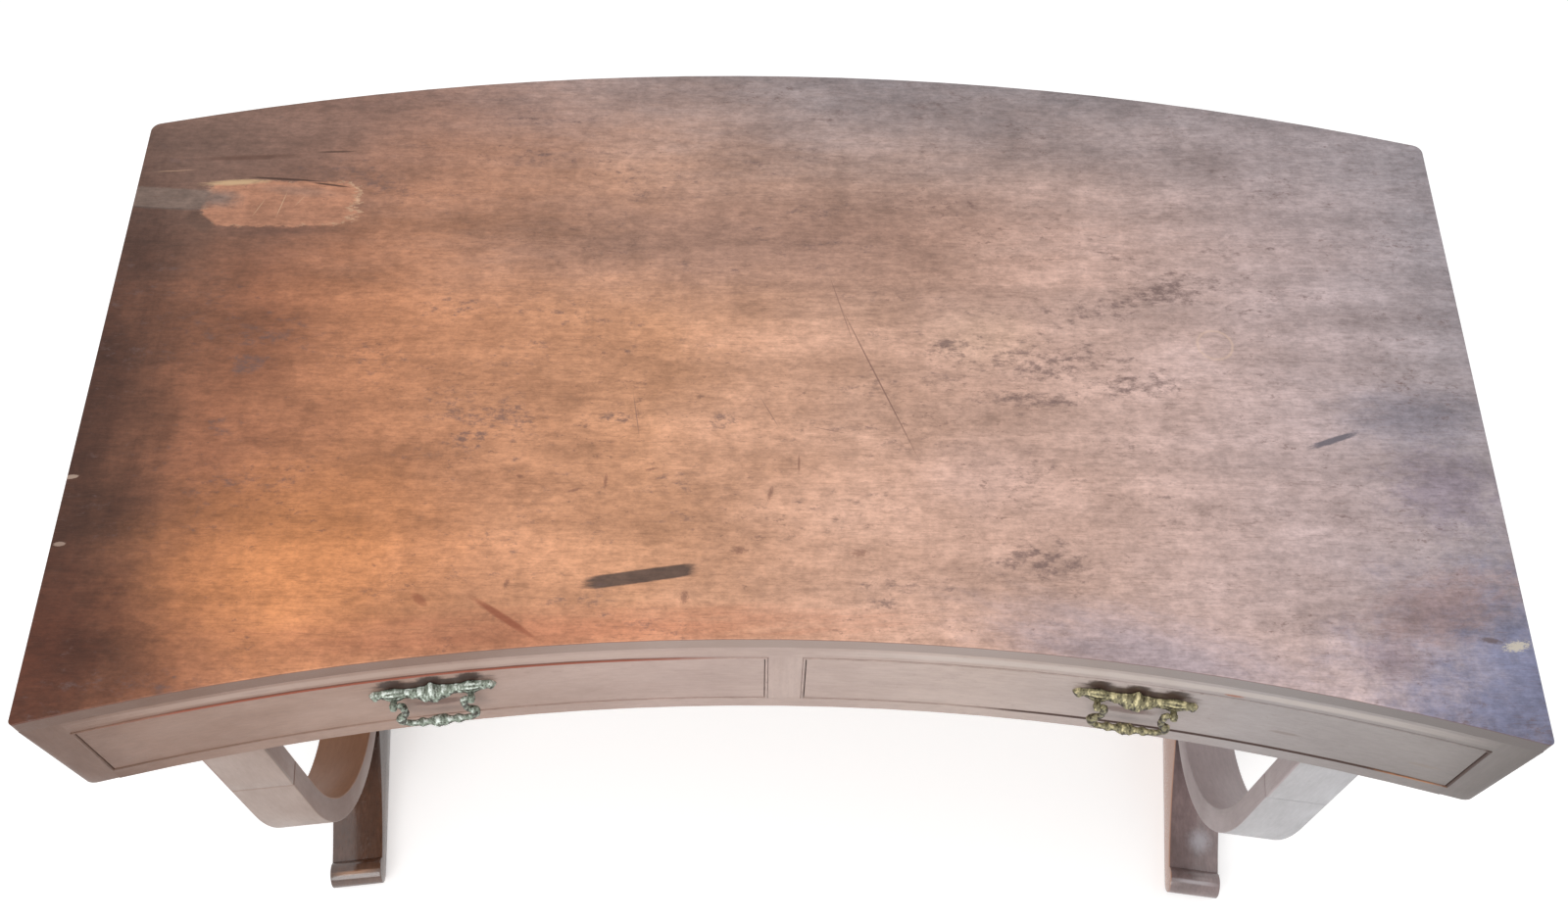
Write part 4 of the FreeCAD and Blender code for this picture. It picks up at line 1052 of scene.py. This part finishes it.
@dataclass
class Trestle:
    """One end support: a bent yoke, two arms that carry it up to the case, and a scrolled foot."""

    side: Side
    aside: float = 0.6367
    back: float = -0.02787
    turn: float = 7.0
    width: float = 0.070
    half: float = 0.380
    radius: float = 0.310
    thick: float = 0.030
    bottom: float = 0.074
    joint: float = 0.4711
    case: float = 0.589
    reach: float = 0.348
    roll: float = 0.018
    neck: float = 0.027
    seat: float = 0.157
    hollow: float = 0.0075
    edge: float = 0.0016
    trim: float = 0.004
    bend_steps: int = 40
    roll_steps: int = 28
    slope_steps: int = 16

    def put(self, name: str, points: np.ndarray, along: np.ndarray, material: Material) -> None:
        """Turns a piece's points under the case, makes it and lets it stand for its CAD node.

        Args:
            name: the CAD node.
            points: rings of points in the trestle's own frame.
            along: length along the grain at each ring.
            material: its finish.
        """
        centre = (self.side.value * self.aside, self.back, 0.0)
        piece = surface(name + "_wood", placed(points, -self.side.value * self.turn, centre), along)
        dress(piece, material, "mahogany", "desk", name)

    def build(self, palette: Palette) -> None:
        """Makes the four wooden pieces.

        Args:
            palette: the finishes.
        """
        word = self.side.word
        self.put(f"yoke_{word}", *self.yoke(), palette.leg)
        self.put(f"front_arm_{word}", *self.arm(-1), palette.leg)
        self.put(f"back_arm_{word}", *self.arm(1), palette.leg)
        self.put(f"trestle_base_{word}", *self.base(), palette.base)

    def yoke(self) -> tuple[np.ndarray, np.ndarray]:
        """A rounded rectangle carried along a U: down, a quarter circle, across, and up again.

        Returns:
            Rings of points and the length along the U at each.
        """
        middle = self.radius - self.thick / 2
        spring = self.bottom + self.radius
        stub, bend = self.joint - spring, middle * math.pi / 2
        flat = 2 * (self.half - self.radius)
        total = 2 * stub + 2 * bend + flat
        down = np.linspace(stub, stub + bend, self.bend_steps)
        inner = np.concatenate([[self.trim], down, (total - down)[::-1], [total - self.trim]])
        place, draw = eased(total, self.edge, inner)
        mid = np.abs(place - total / 2)
        way = np.sign(place - total / 2)
        angle = np.clip((mid - flat / 2) / middle, 0, math.pi / 2)
        straight = np.clip(mid - flat / 2 - bend, 0, None)
        sideways = way * (np.minimum(mid, flat / 2) + middle * np.sin(angle))
        upward = spring - middle * np.cos(angle) + straight
        path = np.stack([np.zeros_like(place), sideways, upward], -1)
        inside = np.stack([np.zeros_like(place), -way * np.sin(angle), np.cos(angle)], -1)
        ring = rounded(self.width - 2 * draw, self.thick - 2 * draw, self.edge)
        aside = ring[..., :1] * np.array([1.0, 0, 0])
        return path[:, None] + aside + ring[..., 1:] * inside[:, None], place

    def arm(self, way: int) -> tuple[np.ndarray, np.ndarray]:
        """A rounded rectangle carried straight up from the yoke to the case.

        Args:
            way: -1 for the front arm, 1 for the back arm.

        Returns:
            Rings of points and the length along the arm at each.
        """
        place, draw = eased(self.case - self.joint, self.edge, np.array([0.03, 0.06, 0.09]))
        ring = rounded(self.width - 2 * draw, self.thick - 2 * draw, self.edge)
        middle = way * (self.half - self.thick / 2)
        height = np.broadcast_to((self.joint + place)[:, None], ring.shape[:2])
        return np.stack([-way * ring[..., 0], middle - way * ring[..., 1], height], -1), place

    def base(self) -> tuple[np.ndarray, np.ndarray]:
        """A foot's outline carried across its width, drawn in along a quarter circle at both faces.

        The outline is the floor line, a rolled end, a hollow slope, the seat, and all mirrored.

        Returns:
            Rings of points and the length along the width at each.
        """
        neck = self.reach - math.sqrt(self.roll**2 - (self.neck - self.roll) ** 2)
        tip = math.asin((self.neck - self.roll) / self.roll)
        centre = (self.reach, self.roll)
        rolled = bow(centre, self.roll, -math.pi / 2, math.pi - tip, self.roll_steps)
        share = np.linspace(0, 1, self.slope_steps)[1:]
        sag = 4 * self.hollow * share * (1 - share)
        height = self.neck + (self.bottom - self.neck) * share - sag
        right = np.concatenate([rolled, np.stack([neck + (self.seat - neck) * share, height], -1)])
        outline = np.concatenate([right, right[::-1] * np.array([-1.0, 1.0])])
        place, draw = eased(self.width, self.edge, np.array([self.width / 2]))
        edge = np.roll(outline, -1, 0) - np.roll(outline, 1, 0)
        normal = unit(np.stack([-edge[:, 1], edge[:, 0]], -1))
        ring = outline[None] + draw[:, None, None] * normal[None]
        across = np.broadcast_to((place - self.width / 2)[:, None], ring.shape[:2])
        return np.stack([across, ring[..., 0], ring[..., 1]], -1), place


@dataclass
class EndStile:
    """The upright at a front corner of the case, its outer edge rounded by wear."""

    side: Side
    corner: Pair = (0.73604, -0.44558)
    heel: Pair = (0.73755, -0.42317)
    inner: float = 0.699
    front: float = FRONT_RADIUS
    back: float = 2.7627
    centre: float = FRONT_CENTRE
    round: float = 0.018
    round_head: float = 0.003
    foot: float = 0.589
    head: float = 0.742
    reach: float = 0.07
    edge: float = 0.002
    steps: int = 12
    corner_steps: int = 10

    def arc(self, radius: float, x: np.ndarray) -> np.ndarray:
        """Points of the plan on a circle about the sitter's place, at the given X."""
        return np.stack([x, self.centre + np.sqrt(radius**2 - x**2)], -1)

    def build(self, palette: Palette) -> None:
        """Carries the plan upwards: two arcs about the desk's front and a rounded outer corner.

        The corner is a curve of the second degree between a point on the front and one on the
        end, wider towards the foot. At the foot the ring draws in along a quarter circle.

        Args:
            palette: the finishes.
        """
        place, draw = eased(self.head - self.foot, self.edge, np.linspace(0.02, 0.13, 5))
        draw = np.where(place < self.reach, draw, 0.0)[:, None, None]
        worn = np.interp(place, [0, self.head - self.foot], [self.round, self.round_head])[:, None]
        corner, heel = np.array(self.corner), np.array(self.heel)
        share = np.linspace(0, 1, self.steps)
        front = self.arc(self.front, self.inner + (corner[0] - worn - self.inner) * share)
        end = corner + (heel - corner) * worn / np.linalg.norm(heel - corner)
        t = np.linspace(0, 1, self.corner_steps)[1:, None]
        curve = (1 - t) ** 2 * front[:, -1:] + 2 * t * (1 - t) * corner + t**2 * end[:, None]
        rear = self.arc(self.back, np.linspace(heel[0], self.inner, self.steps))
        rear = np.broadcast_to(rear, (len(place), *rear.shape))
        ring = np.concatenate([front, curve, rear], 1)
        plan = ring - draw * unit(ring - ring.mean(1, keepdims=True))
        height = np.broadcast_to((self.foot + place)[:, None, None], (*plan.shape[:2], 1))
        points = np.concatenate([plan * np.array([self.side.value, 1.0]), height], -1)
        name = f"end_stile_{self.side.word}"
        dress(surface(name + "_wood", points, place), palette.stile, "mahogany", "desk", name)


@dataclass
class CockBead:
    """The half-round bead let into a drawer front's edge, all the way round."""

    side: Side
    near: float = 0.0178
    far: float = 0.6988
    foot: float = 0.6111
    head: float = 0.7177
    radius: float = FRONT_RADIUS
    centre: float = FRONT_CENTRE
    thick: float = 0.003
    deep: float = 0.011
    proud: float = 0.0013
    steps: int = 60
    upright: int = 6
    section_steps: int = 9

    def build(self, palette: Palette) -> None:
        """Carries the bead's section round a rectangle that is bent to the front's arc.

        The uprights have fewer points than the long sides, one in six.

        Args:
            palette: the finishes.
        """
        span = np.linspace(-1, 1, self.steps)
        edge = np.ones(self.steps)
        loop = np.concatenate([
            np.stack([span, -edge], -1)[:-1],
            np.stack([edge, span], -1)[: -1 : self.upright],
            np.stack([-span, edge], -1)[:-1],
            np.stack([-edge, -span], -1)[: -1 : self.upright],
        ])
        turn = np.linspace(0, math.pi, self.section_steps)
        half = self.thick / 2
        draw = np.concatenate([half - half * np.cos(turn), [self.thick, 0.0]])
        deep = np.concatenate([half - self.proud - half * np.sin(turn), [self.deep, self.deep]])
        across = (self.far - self.near) / 2 - draw[None]
        upward = (self.head - self.foot) / 2 - draw[None]
        x = self.side.value * (self.near + self.far) / 2 + loop[:, :1] * across
        z = (self.head + self.foot) / 2 + loop[:, 1:] * upward
        y = self.centre + np.sqrt((self.radius + deep[None]) ** 2 - x**2)
        step = np.linalg.norm(np.diff(np.stack([x[:, 0], z[:, 0]], -1), axis=0), axis=1)
        name = f"{self.side.word}_drawer_bead"
        along = np.append(0, np.cumsum(step))
        piece = surface(name + "_wood", np.stack([x, y, z], -1), along, ringed=True)
        dress(piece, palette.bead, "mahogany", f"{self.side.word}_drawer", name)


@dataclass
class Pull:
    """A cast swan-neck pull: a branch-like backplate, two eyed posts and a hinged bail."""

    side: Side
    aside: float = 0.36125
    front: float = -0.36883
    height: float = 0.684
    turn: float = 7.576
    half: float = 0.0645
    tip: float = 0.006
    rest: float = 0.00076
    post: float = 0.039
    stand: float = 0.016
    eye: float = 0.0055
    eye_half: float = 0.0033
    gap: float = 0.001
    pin: float = 0.003
    pin_radius: float = 0.0021
    pin_length: float = 0.0085
    shank: float = 0.0026
    tail: float = 0.028
    shoulder: float = 0.0045
    neck: float = 0.010
    bow: float = 0.012
    flare: float = 50.0
    drop: float = 0.048
    grain: float = 0.13
    plate_steps: int = 190
    plate_turns: int = 33
    post_turns: int = 20
    bail_turns: int = 18

    def put(
        self,
        node: str,
        points: np.ndarray,
        relief: np.ndarray,
        material: Material,
        body: str,
        label: str = "",
    ) -> None:
        """Turns a piece's points out from the drawer and lets it stand for its CAD node.

        Args:
            node: the CAD node.
            points: rings of points in the pull's own frame, -Y outwards.
            relief: height of the casting at each point, on the plate and bail with painted light in
                it.
            material: its finish.
            body: the body it rides on.
            label: the piece's name, where it isn't the node's with _cast.
        """
        centre = (self.side.value * self.aside, self.front, self.height)
        along = np.linspace(0, self.grain, len(points))
        shape = placed(points, -self.side.value * self.turn, centre)
        piece = surface(label or f"{node}_cast", shape, along, relief)
        dress(piece, material, "brass", body, node)

    def build(self, palette: Palette) -> None:
        """Makes the plate, the posts and the bail, and dresses the nuts.

        Args:
            palette: the finishes.
        """
        word = self.side.word
        material = palette.pale if self.side is Side.LEFT else palette.gilt
        self.put(f"{word}_pull_plate", *self.plate(), material, f"{word}_drawer")
        for end in Side:
            points, relief = self.post_at(end)
            label = f"{word}_pull_{end.word}_post_cast"
            self.put(f"{word}_pull_posts", points, relief, material, f"{word}_drawer", label)
        self.put(f"{word}_pull_bail", *self.bail(), material, f"{word}_bail")
        paint(f"{word}_pull_nuts", palette.steel)

    @staticmethod
    def knots(along: np.ndarray, turn: np.ndarray) -> np.ndarray:
        """Knobbly casting: a sum of cosines whose waves along and round it don't repeat together.

        Args:
            along: length along the piece at each ring.
            turn: angle round it at each point.

        Returns:
            A height from about -1 to 1, as rings by points.
        """
        x, t = along[:, None], turn[None]
        broad = np.cos(520 * x + 1.3 + 1.4 * np.cos(t)) * np.cos(2 * t + 0.5)
        leafy = np.cos(1030 * x - 2.0 + 2.6 * np.cos(2 * t + 0.8))
        small = np.cos(1970 * x + 0.7 + 1.7 * np.cos(3 * t)) * np.cos(5 * t + 1.1)
        return 0.56 * broad + 0.2 * leafy + 0.24 * small

    def plate(self) -> tuple[np.ndarray, np.ndarray]:
        """Half-round sections along X that swell at the middle, the posts and the tips.

        Folds wrapped over the posts are cosines round the section, and a knob crowns the middle.

        Returns:
            Rings of points and the relief at each, with painted light in it.
        """
        x = np.linspace(-self.half, self.half, self.plate_steps)
        away = np.abs(x)
        post, end = self.post, self.half - 0.0045
        high = swollen(away, 0.005, (0, 0.017, 0.0055), (post, 0.008, 0.0048), (end, 0.004, 0.0014))
        out = swollen(away, 0.0058, (0, 0.017, 0.0075), (post, 0.009, 0.003), (end, 0.005, 0.0016))
        sink = swollen(
            away, 0.0, (0, 0.02, 0.0022), (0.05, 0.008, -0.0012), (self.half, 0.005, 0.0016)
        )
        close = np.sqrt(np.clip((self.half - away) / self.tip, 0.01, 1))[:, None]
        turn = np.linspace(0, math.pi, self.plate_turns)
        face, upward = np.sin(turn)[None], -np.cos(turn)[None]
        wrap = hump(away, post, 0.010)[:, None]
        folds = np.cos(11 * turn[None] + 90 * (away[:, None] - post)) * wrap
        carved = self.knots(x, turn) * (1 - 0.8 * wrap)
        rough = (0.0007 * folds + 0.0012 * carved) * face
        bulge = (out[:, None] * face**0.65 + rough) * close
        knob = 0.0066 * hump(away, 0.0, 0.0042)[:, None] * np.clip(upward, 0, 1) ** 3
        wave = 0.0006 * carved * np.abs(upward)
        z = upward * (high[:, None] + wave) * close + knob - sink[:, None]
        front = np.stack([np.broadcast_to(x[:, None], z.shape), -self.rest - bulge, z], -1)
        shut = np.stack([x, np.full_like(x, -self.rest), z[:, self.plate_turns // 2]], -1)[:, None]
        # Upward parts get more relief and downward ones less: a painted highlight above and painted
        # shade below.
        relief = np.clip(0.52 + 0.42 * carved + 0.3 * folds + 0.3 * upward, 0, 1)
        return np.concatenate([front, shut], 1), np.pad(relief, ((0, 0), (0, 1)))

    def post_at(self, end: Side) -> tuple[np.ndarray, np.ndarray]:
        """Oval rings from a post's tail in the wood to its eye: a shank, then a circle.

        Args:
            end: which of the pull's two posts it is.

        Returns:
            Rings of points and the relief at each.
        """
        inside = np.linspace(self.tail, 0.0, 6)
        depth = np.concatenate([inside, np.linspace(-0.002, -self.stand - self.eye, 40)])
        reach = np.clip(self.eye**2 - (depth + self.stand) ** 2, 1e-9, None) ** 0.5
        shank = swollen(depth, self.shank, (-0.009, 0.004, 0.0016))
        shank = np.where(depth > -self.stand, shank, 0.0)
        wide = self.eye_half * np.clip(reach / self.eye * 1.6, 0.02, 1) + 0.0002
        wide = np.where(depth > -0.010, shank, wide)
        turn = np.linspace(0, 2 * math.pi, self.post_turns, endpoint=False)
        x = end.value * self.post + wide[:, None] * np.cos(turn)[None]
        z = np.maximum(reach, shank)[:, None] * np.sin(turn)[None]
        points = np.stack([x, np.broadcast_to(depth[:, None], x.shape), z], -1)
        return points, np.full(points.shape[:2], 0.62)

    def bail(self) -> tuple[np.ndarray, np.ndarray]:
        """A bar of arcs and lines: pin, shoulder, neck, bow and bottom bar, and mirrored.

        The thickness swells at the bows, at two rings and at the knop in the middle.

        Returns:
            Rings of points and the relief at each, with painted light in it.
        """
        start = self.post - self.pin - self.gap
        side = start - self.shoulder
        flare = math.radians(self.flare)
        low = self.bow - self.drop
        bend = low + (self.neck + self.bow) * math.sin(flare)
        middle = side + self.neck - (self.neck + self.bow) * math.cos(flare)
        run = np.concatenate([
            np.stack([np.linspace(2 * self.post - start, start, 8), np.zeros(8)], -1)[:-1],
            bow((start, -self.shoulder), self.shoulder, math.pi / 2, math.pi, 9),
            np.stack([np.full(10, side), np.linspace(-self.shoulder, bend, 12)[1:-1]], -1),
            bow((side + self.neck, bend), self.neck, math.pi, math.pi + flare, 12),
            bow((middle, low), self.bow, flare, -math.pi / 2, 28)[1:],
            np.stack([np.linspace(middle, 0, 40), np.full(40, -self.drop)], -1)[1:],
        ])
        path = np.concatenate([run, run[-2::-1] * np.array([-1.0, 1.0])])
        along = np.append(0, np.cumsum(np.linalg.norm(np.diff(path, axis=0), axis=1)))
        share = np.minimum(along, along[-1] - along)
        centre = along[-1] / 2
        rings = (centre - 0.019, 0.004, 0.0014), (centre, 0.0085, 0.0036)
        bar = swollen(share, 0.0032, (0.018, 0.005, 0.0006), (0.046, 0.007, 0.0018), *rings)
        bar = np.where(share < self.pin_length, self.pin_radius, bar)
        way = unit(np.gradient(path, along, axis=0))
        out = np.stack([-way[:, 1], way[:, 0]], -1)
        turn = np.linspace(0, 2 * math.pi, self.bail_turns, endpoint=False)
        carved = self.knots(along, turn) * np.clip((share[:, None] - 0.009) / 0.004, 0, 1)
        ring = bar[:, None] * (1 + 0.17 * carved)
        x = path[:, :1] + out[:, :1] * ring * np.cos(turn)[None]
        z = path[:, 1:] + out[:, 1:] * ring * np.cos(turn)[None]
        y = -self.stand - ring * np.sin(turn)[None]
        # Upward parts get more relief and downward ones less: a painted highlight above and painted
        # shade below.
        relief = 0.5 + 0.42 * carved + 0.3 * out[:, 1:] * np.cos(turn)[None]
        return np.stack([x, y, z], -1), np.clip(relief, 0, 1)


def dress(piece: Object, material: Material, slot: str, body: str, *nodes: str) -> None:
    """Gives a new piece its finish and body, and hides the CAD nodes it stands for.

    Args:
        piece: the new piece.
        material: its finish.
        slot: the record's material slot; not used.
        body: the body it rides on.
        nodes: the CAD nodes it replaces.
    """
    piece.data.materials.append(material)
    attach(piece, body)
    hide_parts(*nodes)
    LOG.info("%s rides on %s", piece.name, body)


def paint(node: str, material: Material) -> None:
    """Gives a CAD node its finish in every slot.

    Args:
        node: the node's name.
        material: its finish.
    """
    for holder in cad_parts[node].material_slots:
        holder.material = material
    LOG.info("%s is %s", node, material.name)


@dataclass
class Case:
    """The top and the case under it, whose CAD nodes stay and take their finishes."""

    def build(self, palette: Palette) -> None:
        """Dresses the top, the frame round the drawers and the running gear.

        Args:
            palette: the finishes.
        """
        paint("top_board", palette.top)
        for node in ("front_upper_rail", "front_lower_rail"):
            paint(node, palette.front)
        paint("rear_apron", palette.back)
        paint("centre_post", palette.stile)
        for side in Side:
            EndStile(side).build(palette)
            paint(f"end_panel_{side.word}", palette.end)
            paint(f"leg_bearer_{side.word}", palette.bare)
            paint(f"arm_dowels_{side.word}", palette.bare)
            paint(f"arm_screws_{side.word}", palette.steel)
            paint(f"base_bolts_{side.word}", palette.steel)
        for place in ("left", "centre", "right"):
            for kind in ("runner", "guide", "kicker"):
                paint(f"{kind}_{place}", palette.bare)
        paint("drawer_stops", palette.bare)


@dataclass
class Drawer:
    """One drawer: its front, bead and pull, and the box behind."""

    side: Side

    def build(self, palette: Palette) -> None:
        """Dresses the drawer's CAD nodes and makes its bead and pull.

        Args:
            palette: the finishes.
        """
        body = f"{self.side.word}_drawer"
        paint(f"{body}_front", palette.front)
        for part in ("inner_side", "outer_side", "back", "bottom"):
            paint(f"{body}_{part}", palette.bare)
        CockBead(self.side).build(palette)
        Pull(self.side).build(palette)


@dataclass
class Studio:
    """Floor, soft light and the photograph's camera."""

    position: Triple = (-0.020373, -0.935599, 2.043464)
    pitch: float = 1.013515
    yaw: float = 0.020575
    roll: float = 0.032511
    focal: float = 1443.553
    image_width: int = 1600
    sensor: float = 36.0
    aim: Triple = (0.0, 0.0, 0.5)
    floor_half: float = 6.0
    floor_height: float = -0.0005
    glow: float = 0.4
    dusk: float = 0.6

    def build(self) -> None:
        """Sets up everything round the object."""
        self.floor()
        self.light()
        self.camera()
        bpy.context.scene.view_settings.view_transform = "Standard"

    def floor(self) -> None:
        """A wide white sheet under the desk, just below its feet: a grid of four corners."""
        side = np.array([-self.floor_half, self.floor_half])
        x, y = (line.ravel() for line in np.meshgrid(side, side))
        mesh = bpy.data.meshes.new("floor")
        places = np.stack([x, y, np.full_like(x, self.floor_height)], -1)
        mesh.from_pydata(places.tolist(), [], [(0, 1, 3, 2)])
        sheet = bpy.data.objects.new("floor", mesh)
        bpy.context.scene.collection.objects.link(sheet)
        material, shade, bsdf = begin("white_floor")
        shade.wire(bsdf, {"Base Color": (0.93, 0.93, 0.93, 1), "Roughness": 0.9})
        strength = shade.math("MULTIPLY", self.seen(shade), self.glow)
        shade.wire(bsdf, {"Emission Color": WHITE, "Emission Strength": strength})
        shade.wire(bsdf, {"Specular IOR Level": 0.0})
        mesh.materials.append(material)

    def light(self) -> None:
        """A pale world and two wide lamps, one over the desk and one from its front left."""
        world = bpy.data.worlds.new("studio")
        bpy.context.scene.world = world
        world.use_nodes = True
        shade = Shade(world.node_tree)
        strength = shade.math("MULTIPLY_ADD", self.seen(shade), self.glow, self.dusk)
        back = world.node_tree.nodes["Background"]
        shade.wire(back, {"Color": WHITE, "Strength": strength})
        for name, place, size, power in (
            ("over", (0.3, 0.6, 3.2), 3.0, 20.0),
            ("front", (-0.8, -2.4, 1.9), 2.0, 40.0),
        ):
            lamp = bpy.data.lights.new(name, "AREA")
            lamp.size = size
            lamp.energy = power
            ahead = unit(np.array(self.aim) - np.array(place))
            right = unit(np.cross(ahead, [0.0, 0.0, 1.0]))
            self.stand(bpy.data.objects.new(name, lamp), right, np.cross(right, ahead), place)

    @staticmethod
    def seen(shade: Shade) -> NodeSocket:
        """One where a camera, mirrored or see-through ray meets the surroundings, else nought.

        Args:
            shade: the nodes of the floor or the world.

        Returns:
            The mask.
        """
        path = shade.node("ShaderNodeLightPath", {}).outputs
        gloss = shade.math("MAXIMUM", path["Is Glossy Ray"], path["Is Transmission Ray"])
        return shade.math("MAXIMUM", path["Is Camera Ray"], gloss)

    @staticmethod
    def stand(holder: Object, right: np.ndarray, upward: np.ndarray, place: Triple) -> None:
        """Puts a lamp or a camera at a place, looking away from right times upward.

        Args:
            holder: the lamp or camera.
            right: the direction on its right.
            upward: the direction over it.
            place: where it is.
        """
        turn = np.eye(4)
        turn[:3] = np.stack([right, upward, np.cross(right, upward), place], -1)
        bpy.context.scene.collection.objects.link(holder)
        holder.matrix_world = Matrix(turn.tolist())

    def camera(self) -> None:
        """The camera where the photograph was taken from, turned by its pitch, yaw and roll."""
        lens = bpy.data.cameras.new("photo_camera")
        lens.sensor_fit = "HORIZONTAL"
        lens.sensor_width = self.sensor
        lens.lens = self.sensor * self.focal / self.image_width
        level = np.array([math.cos(self.yaw), -math.sin(self.yaw), 0.0])
        ahead = np.array([math.sin(self.yaw), math.cos(self.yaw), 0.0]) * math.cos(self.pitch)
        ahead[2] = -math.sin(self.pitch)
        upward = np.cross(level, ahead)
        right = math.cos(self.roll) * level + math.sin(self.roll) * upward
        above = math.cos(self.roll) * upward - math.sin(self.roll) * level
        holder = bpy.data.objects.new("photo_camera", lens)
        self.stand(holder, right, above, self.position)
        bpy.context.scene.camera = holder


def main() -> None:
    """Builds the desk's looks in order."""
    logging.basicConfig(level=logging.INFO, format="%(name)s: %(message)s")
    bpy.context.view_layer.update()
    palette = Palette(Effects())
    Case().build(palette)
    for side in Side:
        Trestle(side).build(palette)
        Drawer(side).build(palette)
    Studio().build()


if __name__ == "__main__":
    main()
